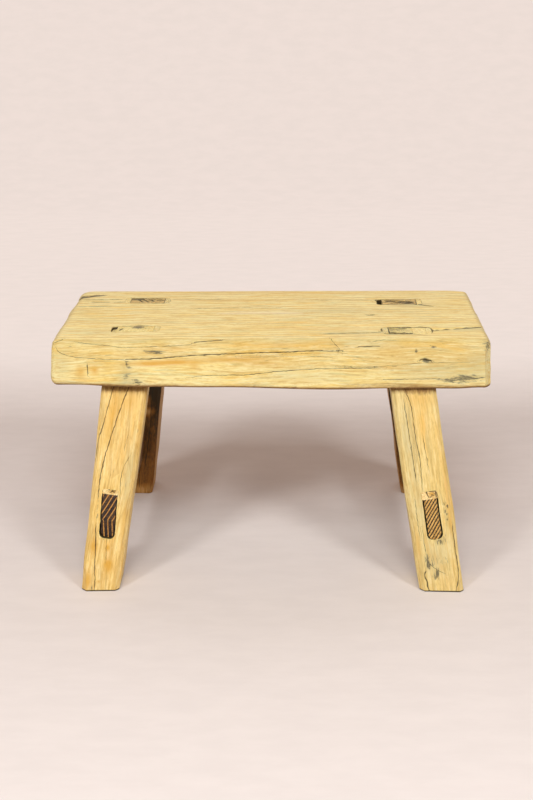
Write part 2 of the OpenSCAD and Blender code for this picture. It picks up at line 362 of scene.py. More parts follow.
points = seat_rings.reshape(-1, 3)
normals = ring_normals(seat_rings).reshape(-1, 3)
seat_cracks = cracks_on(on_front,
    (0.21, 0.2, (-210, 239.6), (-205, 233.5), (-191, 229.4), (-166, 227.3), (-142, 226.8)),
    (0.46, 0.7, (-150, 226.6), (-117, 227.3), (-88, 229.3), (-68, 230.8), (-24, 232.6), (20, 234),
     (40, 235), (69, 234.6)),
    (0.27, 0.3, (-82, 207.8), (-63, 209.8), (-23, 210.8), (0, 213.4), (25, 215.6), (49, 216.8),
     (113, 217.6)),
    (0.21, 0.2, (-193, 243.5), (-179, 242), (-158, 240.2), (-146, 238.9), (-128, 238.6)),
    (0.19, 0.2, (-122, 239.3), (-104, 239.6), (-84, 240.4), (-74, 241.8)),
    (0.67, 0.9, (-76, 242.4), (-70, 243.4), (-60, 243.9), (-45, 244.6)),
    (0.37, 0.4, (-213, 241), (-210, 243), (-206, 244.2), (-203, 244.9)),
    (0.25, 0.3, (59, 244.9), (64, 240.5), (69, 235.5), (67, 233)),
    (0.22, 0.2, (64, 236), (69, 235.5), (73, 234.6)),
    (0.55, 1.2, (-179.6, 221.5), (-178.8, 218), (-178.8, 214), (-178.4, 211.5)),
    (0.67, 1, (145, 225.2), (149, 226), (153, 225.6), (158, 224.8)),
    (0.41, 0.4, (84, 238.8), (92, 239.2), (103, 239.4), (108, 239.2)),
    (0.33, 0.3, (100, 243.4), (108, 244), (116, 244.2), (124, 243.6)),
    (0.22, 0.2, (109, 205.6), (140, 206.2), (168, 206.6)),
    (0.12, 0.1, (66, 219.4), (110, 219.6), (150, 222.6), (200, 223.4)),
    (0.12, 0.1, (-30, 227.8), (10, 229.4), (40, 229.4), (64, 228.2)))
seat_cracks += cracks_on(on_top,
    (2, 1.8, (158, -66), (180, -61), (196, -57), (213, -52)),
    (0.9, 0.6, (113, -72), (98, -75), (69, -78), (52, -79)),
    (0.7, 0.4, (-211, 66), (-186, 66), (-163, 68)), (0.7, 0.4, (-202, 55), (-180, 54), (-161, 54)),
    (0.7, 0.3, (-208, 33), (-190, 34), (-172, 35)), (0.5, 0.2, (-110, 66), (-80, 66), (-52, 67)),
    (0.9, 0.5, (150, 43), (160, 38), (172, 32)), (0.5, 0.2, (-84, 25), (-40, 27), (12, 27)),
    (0.4, 0.2, (40, 60), (90, 61), (108, 58)), (1.2, 0.4, (101, -5), (107, -4)),
    (1.3, 0.5, (110.8, -70), (111.2, -62), (113.4, -57.4), (120, -55.4), (138, -55), (154, -55.2),
     (160.4, -60), (160.6, -72), (156, -79.8)),
    (1, 0.4, (112, -77), (117, -80.6), (134, -80.9), (152, -80.6)),
    (1.1, 0.4, (-152, -48.4), (-146, -47.8), (-139, -48.2)),
    (0.9, 0.4, (-131, -48), (-124, -47.6), (-115, -48.6), (-112.4, -54)),
    (1, 0.4, (-160, 70), (-156, 72.4), (-140, 72.6), (-120, 72)),
    (1.4, 0.8, (109, 56), (114, 63), (121, 64.4)),
    (1.1, 0.4, (122, 58), (134, 60.6), (148, 58), (156, 52)))
sink, crack_side, crack_near = cut_cracks(points, normals, seat_cracks, seed=100)
# A torn splinter at the rear left end, a bruise by the big crack and the pit in the small knot.
torn_path = smooth_path(on_top((-216, 75), (-200, 82), (-178, 89)))
torn_gap, torn_share = across_path(points, normals, torn_path)
torn_wide = 4.6 * (1.0 - 0.7 * torn_share)
torn = np.exp(-(torn_gap / torn_wide) ** 2) * (points[:, 2] > SEAT_TOP - 9)
sink += 2.0 * torn * (1.0 - torn_share)
sink += patches(points, spots(on_front_face,
    (151, 225.4, 3.4, 3, 1.8, 0.9), (159, 238.9, 2.2, 4, 0.9, 0.5), (142, 234.6, 1, 3, 0.9, 0.5),
    (-140, 222.2, 1, 3, 1.5, 0.6)))
points = points - normals * sink[:, None]
bottom_side = ease(0.35, -0.35, normals[:, 2])
bottom_side *= ease(SEAT_BASE + 9.0, SEAT_BASE + 1.0, points[:, 2])
soot = patches(points, spots(on_front_face,
    (188, 206.2, 15, 9, 3.4, 1.25), (200, 208.2, 13, 9, 1.6, 0.7), (175, 204.6, 9, 9, 1.8, 0.6),
    (210, 241, 5, 9, 4, 0.85, 3), (213, 236, 3, 9, 6, 0.6, 4), (-115, 234.4, 7, 6, 1.8, 1.5),
    (-109, 232.6, 3, 6, 1.4, 0.6), (151, 225.4, 4.6, 6, 2, 1.4), (154, 223.6, 5, 6, 1.2, 0.5),
    (159, 238.9, 2.6, 5, 1.1, 1.6), (142, 234.6, 1.4, 5, 1.4, 2.6), (-140, 222.2, 1.4, 5, 2.2, 2.6),
    (-138, 219, 3.4, 5, 1.4, 0.35), (101, 217.2, 4, 6, 1.4, 0.6), (88, 216.8, 2.2, 6, 1.6, 0.55),
    (74, 217.6, 5, 6, 1, 0.35), (24, 198.2, 15, 9, 1.3, 0.9), (-20, 199.5, 22, 9, 1.2, 0.3),
    (-131, 203.4, 4.4, 8, 4, 0.9), (-141, 209.4, 4, 8, 4.6, 0.6), (-152, 200.4, 26, 9, 1, 0.3),
    (-183, 228.4, 12, 6, 0.7, 0.25), (-195, 239.4, 1.6, 6, 2.4, 0.6, 4))
    + spots(on_sitting_face,
    (186, -60, 22, 5, 3, 0.25), (101, -5, 4, 2.8, 3, 1.1), (-153, -62, 3, 9, 3, 0.5),
    (-133.5, -49, 6, 5, 3, 1.8), (116, 60, 7, 6, 3, 0.7), (156, 42, 10, 6, 3, 0.4),
    (-196, 82, 17, 6, 3, 0.5, -1))) + 2.4 * torn * ease(1.0, 0.5, torn_share)
rust = patches(points, spots(on_front_face,
    (-186, 214.6, 4, 8, 5, 0.75), (-172, 216, 4, 8, 5, 0.75), (-184, 207, 9, 8, 3, 0.3),
    (-118, 222.6, 16, 8, 2.4, 1.1), (-92, 223.6, 18, 8, 2.4, 1), (-74, 219.6, 5, 8, 4, 0.55),
    (-40, 226.4, 34, 8, 2.4, 0.7), (-4, 222, 30, 8, 1.8, 0.3), (-90, 236.6, 10, 7, 1.8, 0.4, 2),
    (-10, 241, 60, 7, 2.6, 0.3, 3), (52, 243, 14, 7, 1.4, 0.3, 4), (113, 218.6, 8, 7, 2, 0.35),
    (150, 205, 14, 8, 3, 0.2), (30, 204, 20, 8, 3, 0.25))
    + spots(on_sitting_face,
    (-50, 62, 70, 3.4, 4, 0.4), (40, -60, 90, 6, 4, 0.25), (0, 96, 150, 10, 4, 0.25)))
bloom = patches(points, spots(on_front_face,
    (-141, 213, 7, 8, 9, 0.35), (-132, 203, 9, 8, 5, 0.4), (-146, 204, 12, 8, 5, 0.45),
    (170, 213, 45, 8, 11, 0.4), (205, 222, 14, 8, 14, 0.5), (40, 209, 60, 8, 7, 0.3),
    (-205, 220, 9, 8, 18, 0.35))
    + spots(on_sitting_face,
    (200, -62, 20, 10, 4, 0.5), (90, -76, 40, 7, 4, 0.4), (60, 12, 50, 14, 4, 0.3),
    (150, 36, 26, 10, 4, 0.4), (-175, -70, 30, 12, 4, 0.25)))
# One pale rub along the grain, where something was once dragged across.
rub_path = smooth_path(on_top((-58, 2), (-20, 5), (34, 3)), 4.0)
rub_gap, rub_share = across_path(points, normals, rub_path)
rub_faded = 0.35 * np.sqrt(np.clip(rub_share * (1 - rub_share) * 6.0, 0.0, 1.0))
rub = rub_faded * np.exp(-(rub_gap / 5.0) ** 2) * (points[:, 2] > SEAT_TOP - 3)
patina = 0.7 * bottom_side
swell = patches(points, spots(on_front_face,
    (151, 225, 15, 12, 6, 2.4), (-112, 233, 14, 12, 4, 2), (-142, 212, 12, 12, 8, 2.4)))
# Where the seat's painted shade falls: none on the sitting face, half on the front and the
# underside, and full on the rounded front arris between them; it is the last of these marks.
seat_marks = dict(crack_side=crack_side, crack_near=crack_near, soot=soot, rust=rust, bloom=bloom,
                  rub=rub, patina=patina, cut=np.zeros(len(points)), swell=swell,
                  bleach=np.maximum(np.clip((normals[:, 2] - 0.9) / 0.1, 0.0, 1.0) ** 2,
                                    0.5 * ease(0.5, 0.1, normals[:, 2])))
seat = closed_skin("seat", points.reshape(seat_rings.shape), seat_marks)


class Value:
    """A shader socket with arithmetic: an expression on values adds its Math nodes."""

    def __init__(self, finish, socket):
        self.finish, self.socket = finish, socket

    def maths(self, operation, *others):
        return self.finish.node("ShaderNodeMath", {"operation": operation},
                                dict(enumerate((self,) + others)))

    def __add__(self, other):
        return self.maths("ADD", other)

    def __sub__(self, other):
        return self.maths("SUBTRACT", other)

    def __mul__(self, other):
        return self.maths("MULTIPLY", other)

    def __truediv__(self, other):
        return self.maths("DIVIDE", other)

    def __rsub__(self, other):
        return self.finish.node("ShaderNodeMath", {"operation": "SUBTRACT"}, {0: other, 1: self})

    def __abs__(self):
        return self.maths("ABSOLUTE")

    __radd__ = __add__
    __rmul__ = __mul__

    def clamped(self):
        return self.finish.node("ShaderNodeClamp", {}, {"Value": self})

    def step(self, low, high):
        """0 below low and 1 above high, with a smooth rise between; falls instead if low > high."""
        flip = low > high
        return self.finish.node("ShaderNodeMapRange", {"interpolation_type": "SMOOTHSTEP"}, {
            "Value": self, "From Min": min(low, high), "From Max": max(low, high),
            "To Min": 1.0 if flip else 0.0, "To Max": 0.0 if flip else 1.0})


class Finish:
    """One wood finish: a material, and the one way of adding any node to it."""

    def __init__(self, name):
        self.material = bpy.data.materials.new(name)
        self.material.use_nodes = True
        self.tree = self.material.node_tree
        self.tree.nodes.clear()

    def node(self, kind, settings, inputs, out=0):
        """Adds a node: its settings first, then each input's value or link."""
        made = self.tree.nodes.new(kind)
        for key, value in settings.items():
            setattr(made, key, value)
        for key, value in inputs.items():
            if isinstance(value, Value):
                self.tree.links.new(value.socket, made.inputs[key])
            else:
                made.inputs[key].default_value = value
        return Value(self, made.outputs[out]) if len(made.outputs) else None

    def mark(self, name):
        """One of the piece's own marks, by name."""
        return self.node("ShaderNodeAttribute", {"attribute_name": name}, {}, "Fac")

    def noise(self, where, detail, rough=0.5, seed=0.0, colour=False):
        """Noise from 0 to 1 on the given coordinates, with lumps of about one unit."""
        return self.node("ShaderNodeTexNoise", {"noise_dimensions": "4D"}, {
            "Vector": where, "W": seed, "Scale": 1.0, "Detail": detail, "Roughness": rough},
            "Color" if colour else "Fac")

    def vector(self, operation, first, second, out="Vector"):
        return self.node("ShaderNodeVectorMath", {"operation": operation},
                         {0: first, 1: second}, out)

    def blend(self, share, first, second, how="MIX"):
        """Two colours mixed: all of the first at share 0, and all of the second at 1."""
        return self.node("ShaderNodeMix", {
            "data_type": "RGBA", "blend_type": how, "clamp_factor": True}, {
            0: share, 6: first, 7: second}, 2)

    def done(self, height, strength, distance, surface):
        """The material, from its relief's height, strength and depth in metres, and its surface."""
        bump = self.node("ShaderNodeBump", {}, {
            "Strength": strength, "Distance": distance, "Height": height})
        shader = self.node("ShaderNodeBsdfPrincipled", {}, {"Normal": bump, **surface})
        self.node("ShaderNodeOutputMaterial", {}, {"Surface": shader})
        return self.material

    def drawn_out(self, where, length, width):
        """Coordinates squeezed so that a pattern of size 1 comes out so long along the grain and so
        wide across it."""
        return self.vector("MULTIPLY", where, (1 / length, 1 / width, 1 / width))

    def wavering(self, where, length, width, detail, seed, reach):
        """Coordinates pushed across the grain by up to half the reach, in waves of that length."""
        waves = self.noise(self.drawn_out(where, length, width), detail, seed=seed, colour=True)
        return self.vector("MULTIPLY", self.vector("SUBTRACT", waves, (0.5, 0.5, 0.5)),
                           (0.0, reach, reach))


def paint(red, green, blue):
    """A colour given as a painter reads it, 0 to 255, turned to the light it reflects."""
    share = np.array([red, green, blue]) / 255.0
    light = np.where(share <= 0.04045, share / 12.92, ((share + 0.055) / 1.055) ** 2.4)
    return tuple(float(part) for part in light) + (1.0,)


# What soaks into old wood or lies on it.
BLOOM, RUST, SOOT_AND_SHADE = paint(186, 184, 146), paint(214, 158, 44), paint(70, 68, 56)
RUB, CRACK, SHADOW = paint(250, 240, 220), paint(56, 54, 40), paint(34, 26, 16)


def wood_finish(name, grain, origin, heart, ring_gap, tones, grown_late=0.5, seed=0.0, stray=17.0,
                late_part=(0.45, 0.93), even=0.25, dark_late=0.0):
    """Old wood, solid all through: rings round a heart line, fibres and pores drawn out along the
    grain, and on top of them the piece's marks. grain is the piece's frame: its first column runs
    along the grain. heart is where the heart line passes, across and through, and stray is how far
    the grain wanders, all in millimetres. late_part is where in each ring the dark late wood
    begins and is full, grown_late and dark_late are how dark it is and how far it hides what lies
    over it, and even is how alike the rings are."""
    finish = Finish(name)
    turn = Matrix([list(row) for row in grain]).to_euler()
    place = finish.node("ShaderNodeTexCoord", {}, {}, "Object")
    local = finish.node("ShaderNodeMapping", {"vector_type": "TEXTURE"}, {
        "Vector": place, "Location": tuple(np.array(origin) * MM), "Rotation": tuple(turn),
        "Scale": (MM, MM, MM)})
    # The grain wanders gently along the piece, then a little more in short waves.
    slow = finish.wavering(local, 110.0, 38.0, 1.0, seed, stray)
    quick = finish.wavering(local, 26.0, 8.0, 2.0, seed + 3, 0.09 * stray)
    bent = finish.vector("ADD", finish.vector("ADD", local, slow), quick)
    across = finish.vector("MULTIPLY", bent, (0.0, 1.0, 1.0))
    radius = finish.vector("DISTANCE", across, (0.0, heart[0], heart[1]), "Value")
    rings = (radius + finish.mark("swell")) / ring_gap
    ring_number = rings.maths("FLOOR")
    in_ring = rings.maths("FRACT")
    strength = finish.node("ShaderNodeTexWhiteNoise", {"noise_dimensions": "1D"},
                           {"W": ring_number + seed})
    late = in_ring.step(*late_part) * in_ring.step(1.0, 0.955) * (even + (1.0 - even) * strength)

    def streaks(length, width, detail, number, where=bent, rough=0.55):
        """Noise drawn out along the grain: length along it, width across it."""
        return finish.noise(finish.drawn_out(where, length, width), detail, rough, seed + number)

    # Fibres: hair-fine streaks, with soft broad bands of gold and grey, and short dark checks.
    fine = streaks(26.0, 1.6, 3.0, 5)
    hair = streaks(10.0, 0.9, 2.0, 6)
    bands = streaks(90.0, 4.5, 2.0, 7)
    gold = streaks(60.0, 7.0, 3.0, 8)
    grey = streaks(45.0, 3.2, 3.0, 15)
    check = streaks(9.0, 1.1, 1.0, 11)
    cloud = streaks(55.0, 22.0, 3.0, 9, local)
    speckle = streaks(5.0, 1.6, 4.0, 13, local, 0.65)
    pore = check.step(0.66, 0.75) * (0.35 + 0.65 * late)
    plain = 1.0 - late * dark_late
    wood = tones["pale"]
    for share, tone in (
            (cloud.step(0.34, 0.66), "warm"),
            (bands.step(0.42, 0.72) * 0.6, "warm"),
            (late * grown_late, "late"),
            (gold.step(0.5, 0.7) * plain * 0.6, "gold"),
            (grey.step(0.5, 0.68) * plain * 0.6, "grey"),
            ((0.5 - fine).step(0.0, 0.17) * 0.62, "late"),
            ((fine - 0.5).step(0.0, 0.17) * plain * 0.55, "light"),
            ((0.5 - hair).step(0.02, 0.2) * 0.45, "late"),
            ((0.5 - speckle).step(0.0, 0.22) * 0.4, "late"),
            ((speckle - 0.5).step(0.03, 0.24) * plain * 0.4, "light"),
            (pore * 0.75, "pore")):
        wood = finish.blend(share, wood, tones[tone])
    # Painted shade, and a tint: where the mark read below is under one, the wood is multiplied by
    # the finish's multiplier colour. On the seat that is painted shade, which leaves the sitting
    # face lightest and darkens the front, the underside and most of all the rounded front arris; on
    # the legs it tints the tenons' end grain.
    wood = finish.blend(1.0 - finish.mark("bleach"), wood, tones["dull"], how="MULTIPLY")
    # Marks of age: bloom and rust soak in as clouds, and soot sits in the fibres; across the front
    # legs' tops the soot colour also paints shade under the seat. Then old dirt and handling: a
    # brown stain, and black where it was never cleaned off; across every leg's top under the seat
    # and down the rear legs' inner faces these also paint shade. Then cracks: a dark line where the
    # distance across, in half widths, is under one; and painted shadow in the joints and where the
    # front feet meet the floor.
    mixed = (speckle - 0.5) * 1.2 + (fine - 0.5) * 1.3 + (hair - 0.5) * 0.8
    sooty, dirt_and_shade_mark = finish.mark("soot"), finish.mark("patina")
    soot = (sooty * 0.55 + mixed * 1.7).step(0.2, 0.75) * sooty.step(0.02, 0.3)
    spread = dirt_and_shade_mark + (cloud - 0.5) * 0.5 + (speckle - 0.5) * 0.55 + (bands - 0.5) * 0.5
    patina = spread.step(0.15, 0.6) * dirt_and_shade_mark.step(0.0, 0.15)
    crack = abs(finish.mark("crack_side")).step(1.25, 0.6)
    crack = crack * finish.mark("crack_near").step(0.1, 0.4)
    for share, colour in (
            ((finish.mark("bloom") * (1.0 + mixed)).clamped() * 0.75, BLOOM),
            ((finish.mark("rust") * (1.0 + mixed * 1.3)).clamped() * 0.8, RUST),
            (soot * 0.82, SOOT_AND_SHADE),
            ((finish.mark("rub") * (1.0 + mixed)).clamped(), RUB),
            (patina * 0.9, tones["rubbed"]),
            (spread.step(0.5, 0.9) * dirt_and_shade_mark.step(0.1, 0.4), tones["grime"]),
            (crack * (0.82 + (hair - 0.5) * 0.8).clamped(), CRACK),
            (finish.mark("cut").step(0.2, 0.8) * 0.94, SHADOW)):
        wood = finish.blend(share, wood, colour)
    rough = 0.5 + fine * 0.12 + patina * 0.12 + crack * 0.3 - late * 0.06
    height = (fine * 0.5 + hair * 0.3 + late * 0.35 - pore * 0.6 - crack * 2.0 + speckle * 0.3
              - soot * 0.2)
    return finish.done(height, 0.6, 0.00035, {
        "Base Color": wood, "Roughness": rough, "Specular IOR Level": 0.32})


NO_SHADE_AND_TINT = (1.0, 1.0, 1.0, 1.0)


def wood_tones(dull=NO_SHADE_AND_TINT, **colours):
    """A finish's colours as light, from colours as a painter reads them."""
    return {"dull": dull, **{tone: paint(*colour) for tone, colour in colours.items()}}


# The seat's multiplier colour, (0.79, 0.77, 0.75), is painted shade for its front, its underside
# and its rounded front arris.
SEAT_TONES = wood_tones(pale=(253, 242, 178), warm=(248, 228, 150), late=(210, 170, 84),
                  light=(255, 250, 200), pore=(112, 92, 54), gold=(248, 208, 96),
                  grey=(208, 202, 146), dull=(0.79, 0.77, 0.75, 1.0), grime=(70, 50, 28),
                  rubbed=(150, 112, 62))
seat_wood = wood_finish("seat_wood", np.eye(3), (0.0, 0.0, 0.0), heart=(260.0, 196.0), ring_gap=8.5,
                        tones=SEAT_TONES, grown_late=0.7, seed=2.0, late_part=(0.3, 0.9), even=0.3)


# ---------------------------------------------------------------- leg joints in the seat
# Each leg leans sideways and splays to its end. Its frame's columns run across its front, through
# it from front to back, and up its length. The mortise follows that frame through the plank and
# widens a little upwards, so that the wedges driven in from above lock the tenon.
FOOT_X, FOOT_Y = 170.0, 133.0
TENON_X, TENON_Y, RIGHT_SHIFT = 136.0, 60.0, 8.0
LEG_TOP_W, LEG_T = 47.0, 42.0
TENON_LEN, TENON_W = 37.0, 21.2
MORTISE_LEN, MORTISE_W, MORTISE_ROUND = 48.0, 22.0, 5.0
LEFT, RIGHT, FRONT, REAR = -1, 1, -1, 1
LEGS = {"front_left": (LEFT, FRONT), "front_right": (RIGHT, FRONT),
        "rear_left": (LEFT, REAR), "rear_right": (RIGHT, REAR)}


LEAN = math.atan((FOOT_X - TENON_X) / SEAT_TOP)


def turned(angle, axis):
    return np.array(Matrix.Rotation(angle, 3, axis))


def splay_of(side, end):
    """How far a leg tilts in its leaning plane, from its foot's and its tenon's places there."""
    joint_y = end * TENON_Y - (RIGHT_SHIFT if side == RIGHT else 0.0)
    return math.atan((FOOT_Y - end * joint_y) * math.cos(LEAN) / SEAT_TOP)


def leg_frame(side, end):
    """The foot's centre and the three directions of a leg: lean about Y, then splay about X."""
    sideways = turned(-side * LEAN, "Y")
    foot = np.array([side * FOOT_X, 0.0, 0.0]) + sideways @ np.array([0.0, end * FOOT_Y, 0.0])
    return foot, sideways @ turned(end * splay_of(side, end), "X")


def at_height(foot, frame_of_leg, across, through, height):
    """The point of a leg that lies across and through its frame by the given amounts, at the given
    height above the floor: it is slid along the leg's length until it is level."""
    ex, ey, ez = frame_of_leg.T
    across, through, height = np.broadcast_arrays(across, through, height)
    flat = foot + across[..., None] * ex + through[..., None] * ey
    return flat + ((height - flat[..., 2]) / ez[2])[..., None] * ez


def in_leg_frame(points, foot, frame_of_leg):
    """Points in space as their places across and through a leg, and their height."""
    local = (points - foot) @ frame_of_leg
    return np.stack([local[..., 0], local[..., 1], points[..., 2]], axis=-1)


def cut_out(piece, cutters):
    """Cuts the cutters' shapes out of a piece and keeps the result as its mesh. The faces that the
    cutters leave carry the cutters' marks."""
    for cutter in cutters:
        step = piece.modifiers.new("cut", "BOOLEAN")
        step.operation, step.solver, step.object = "DIFFERENCE", "MANIFOLD", cutter
    bpy.context.view_layer.update()
    result = piece.evaluated_get(bpy.context.evaluated_depsgraph_get())
    done = bpy.data.meshes.new_from_object(result)
    piece.modifiers.clear()
    old = piece.data
    piece.data = done
    bpy.data.meshes.remove(old)
    for cutter in cutters:
        bpy.data.objects.remove(cutter)
    piece.data.materials.clear()


def finish_piece(piece, material, node, sharp=38.0):
    """Gives a finished piece its material, its crisp arrises and its place on the stool's one body,
    and hides the imported part that it stands for."""
    piece.data.materials.append(material)
    piece.data.shade_smooth()
    piece.data.set_sharp_from_angle(angle=math.radians(sharp))
    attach(piece, "root")
    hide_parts(node)


MARKS = ("crack_side", "crack_near", "soot", "rust", "bloom", "rub", "patina", "cut", "swell",
         "bleach")


def plain_marks(shape, **given):
    """The marks of a clean surface, with any that are given put in their place."""
    marks = {mark: np.zeros(shape) for mark in MARKS}
    marks["crack_side"] += FAR_OFF
    marks.update({mark: np.broadcast_to(values, shape) for mark, values in given.items()})
    return marks


def mortise_end(height):
    """How far a mortise's end is from the leg's middle line: a little outside the tenon at the
    plank's underside, and evenly further up to the sitting face."""
    share = (height - SEAT_BASE) / (SEAT_TOP - SEAT_BASE)
    return TENON_LEN / 2 + 1.0 + (MORTISE_LEN / 2 - TENON_LEN / 2 - 1.0) * share


def mortise_rings(foot, frame_of_leg, heights, half_len, half_w, seed):
    """Rings of a mortise: rounded rectangles across the leg's frame, each a little uneven."""
    a, b = rounded_rings(-half_len, half_len, -half_w, half_w, [MORTISE_ROUND] * 4,
                         sides=(40, 14, 40, 14), arcs=(6, 6, 6, 6))
    uneven = 0.18 * wander(seed, 9.0, a, b)
    out = np.sqrt(a * a + b * b)
    a, b = a + uneven * a / out, b + uneven * b / out
    return at_height(foot, frame_of_leg, a, b, heights)


mortise_cutters = []
heights = np.array([SEAT_BASE - 6, SEAT_BASE + 12, SEAT_TOP - 12, SEAT_TOP - 1.2, SEAT_TOP,
                    SEAT_TOP + 6])[:, None]
for number, (side, end) in enumerate(LEGS.values()):
    half_w = MORTISE_W / 2 + 0.1 + 0.25 * ease(SEAT_TOP - 12, SEAT_TOP, heights)
    rings = mortise_rings(*leg_frame(side, end), heights, mortise_end(heights) + 0.15, half_w,
                          30 + number)
    # Below the sitting face the mortise's walls carry painted shadow, dark in the gap round the
    # tenon.
    marks = plain_marks(rings.shape[:2], cut=ease(SEAT_TOP - 0.2, SEAT_TOP - 1.6, heights))
    mortise_cutters.append(closed_skin("mortise_cutter", rings, marks))
cut_out(seat, mortise_cutters)
finish_piece(seat, seat_wood, "seat_plank")


# ---------------------------------------------------------------- legs
# Four legs hewn square from the same pale wood, chamfered along their edges and slimmed towards
# the floor. Each has a shouldered tenon that goes right through the seat, and a mortise for its
# stretcher. The front pair has been scrubbed pale; the rear pair keeps its dark old surface.
FOOT_W = {"front_left": 37.0, "front_right": 43.0, "rear_left": 48.0, "rear_right": 42.0}
PACKING_LEN = 13.5
CHAMFER = 3.8
# How far to the right of true each leg's left and right flanks stray, at four heights.
STRAY_HEIGHTS = (0.0, 65.0, 130.0, 197.0)
LEFT_STRAY = {"front_left": (0.0, -0.5, -1.2, -2.0), "front_right": (0.0, -0.8, -1.4, -0.8),
              "rear_left": (0.0, 0.2, -0.2, 0.4), "rear_right": (-1.0, -0.4, -0.4, -0.6)}
RIGHT_STRAY = {"front_left": (0.0, -0.5, -0.9, -2.0), "front_right": (0.0, -0.3, -2.0, -3.0),
               "rear_left": (1.2, 1.4, 1.2, 0.9), "rear_right": (0.6, 0.3, -0.3, 0.2)}
STRETCHER_Z, STRETCHER_OUT, STRETCHER_H, STRETCHER_T = 51.0, 0.5, 50.0, 22.0
TENON_H = {LEFT: 42.0, RIGHT: 39.0}
TENON_T, WEDGE_SPACE, WEDGE_DRIVE, WEDGE_THIN = 15.5, 47.0, 36.0, 1.0
# The gap left round each stretcher tenon, and how far its top leans left of true.
JOINT_GAP = {(LEFT, FRONT): 0.8, (RIGHT, FRONT): 1.3, (LEFT, REAR): 0.3, (RIGHT, REAR): 0.3}
LEAN_SPAN = (52.0, 96.0)
JOINT_LEAN = {(LEFT, FRONT): -2.0, (RIGHT, FRONT): -0.5, (LEFT, REAR): 0.0, (RIGHT, REAR): 0.0}


def in_side_frame(side, sx, sy, sz):
    """Points of the leaning plane that holds one side's two legs and its stretcher, in space: sx is
    out of the plane, sy along it towards the rear, sz up it from the floor."""
    flat = np.stack(np.broadcast_arrays(sx, sy, sz), axis=-1)
    return np.array([side * FOOT_X, 0.0, 0.0]) + flat @ turned(-side * LEAN, "Y").T


def leg_face_y(side, end, sz, offset):
    """Where a plane at the given offset outward from a leg's middle stands in the side frame: the
    foot's distance, less the height times the splay's tangent, plus the offset over its cosine."""
    splay = splay_of(side, end)
    return end * (FOOT_Y - sz * math.tan(splay) + offset / math.cos(splay))


def joint_middle(side, end, sz):
    """Sideways place of a stretcher joint's middle line, which leans a little over its height."""
    return side * STRETCHER_OUT + JOINT_LEAN[side, end] * ease(*LEAN_SPAN, sz)


def wedge_top(side, offset):
    """Top of the space above a stretcher's tenon: it narrows evenly from the leg's outer face."""
    tenon_top = STRETCHER_Z + TENON_H[side]
    grow = (WEDGE_SPACE - TENON_H[side] - WEDGE_THIN) / WEDGE_DRIVE
    return tenon_top + np.where(offset > LEG_T / 2 - WEDGE_DRIVE,
                                WEDGE_THIN + (offset - LEG_T / 2 + WEDGE_DRIVE) * grow, 0.25)


def leg_mortise_cutter(side, end):
    """The space that a stretcher's tenon and its wedge fill, rounded at its lower corners."""
    offsets = np.array([30.0, 21.5, 20.8, 19.0, 8.0, -14.0, -16.0, -22.0, -28.0])[:, None]
    half = TENON_T / 2 + 0.1
    a, b = rounded_rings(-half, half, STRETCHER_Z - 0.1, wedge_top(side, offsets),
                         [MORTISE_ROUND, MORTISE_ROUND, 1.0, 1.2],
                         sides=(12, 40, 12, 40), arcs=(6, 6, 3, 3))
    a = a + joint_middle(side, end, b) + 0.16 * wander(60 + side + 3 * end, 8.0, a, b)
    rings = in_side_frame(side, a, leg_face_y(side, end, b, offsets), b)
    # The cutter's walls inside the leg's outer face leave painted shadow in the mortise.
    return closed_skin("mortise_cutter", rings, plain_marks(
        rings.shape[:2], cut=ease(21.0, 20.5, offsets)))


def half_width(name, height):
    """Half of a leg's width: it grows evenly from its foot's to that at the seat."""
    return (FOOT_W[name] + (LEG_TOP_W - FOOT_W[name]) * height / SEAT_TOP) / 2


def leg_rings(name):
    """Level rings up a leg: a chamfered rectangle that widens from the foot to the seat and strays
    a little, drawn in at the floor where the arris is worn; then the shoulder, and the tenon."""
    heights = np.concatenate([[0.0, 0.12, 0.4, 0.9, 1.6, 2.5], np.arange(3.8, SEAT_BASE - 1.2, 1.5),
                              [SEAT_BASE - 0.5, SEAT_BASE + 0.3]])[:, None]
    half = half_width(name, heights)
    left = np.interp(heights, STRAY_HEIGHTS, LEFT_STRAY[name])
    right = np.interp(heights, STRAY_HEIGHTS, RIGHT_STRAY[name])
    worn = corner_shrink(heights, 1.6, 1.0)
    seed = 70 + list(LEGS).index(name) * 7
    chamfers = [CHAMFER + 0.6 * wander(seed + k, 60.0, heights) - 0.3 * worn for k in range(4)]
    grid = dict(sides=(56, 44, 56, 44), arcs=(7, 7, 7, 7))
    a, b = rounded_rings(-half + left + worn, half + right - worn,
                         -LEG_T / 2 + worn, LEG_T / 2 - worn, chamfers, flat=0.9, **grid)
    tenon_z = np.concatenate([[SEAT_BASE + 0.3], np.linspace(SEAT_BASE + 3, SEAT_TOP - 1.5, 16),
                              [SEAT_TOP - 0.6, SEAT_TOP - 0.22, SEAT_TOP - 0.05]])[:, None]
    arris = corner_shrink(SEAT_TOP - tenon_z, 0.5, 0.35)
    cut = PACKING_LEN if name == "front_right" else 0.0
    ta, tb = rounded_rings(-TENON_LEN / 2 + arris, TENON_LEN / 2 - cut - arris,
                           -TENON_W / 2 + arris, TENON_W / 2 - arris, [1.0] * 4, **grid)
    return np.concatenate([a, ta]), np.concatenate([b, tb]), np.concatenate([heights, tenon_z])


def on_leg(name, face):
    """How stations across and up a leg's front or back face become points in space. Past the
    face's edge they step back with the chamfer."""
    foot, leg_axes = leg_frame(*LEGS[name])

    def place(*stations):
        across, heights = np.array(stations, dtype=float).T
        past = np.clip(np.abs(across) - (half_width(name, heights) - CHAMFER), 0.0, CHAMFER)
        return at_height(foot, leg_axes, across, face * (LEG_T / 2 - past), heights)
    return place


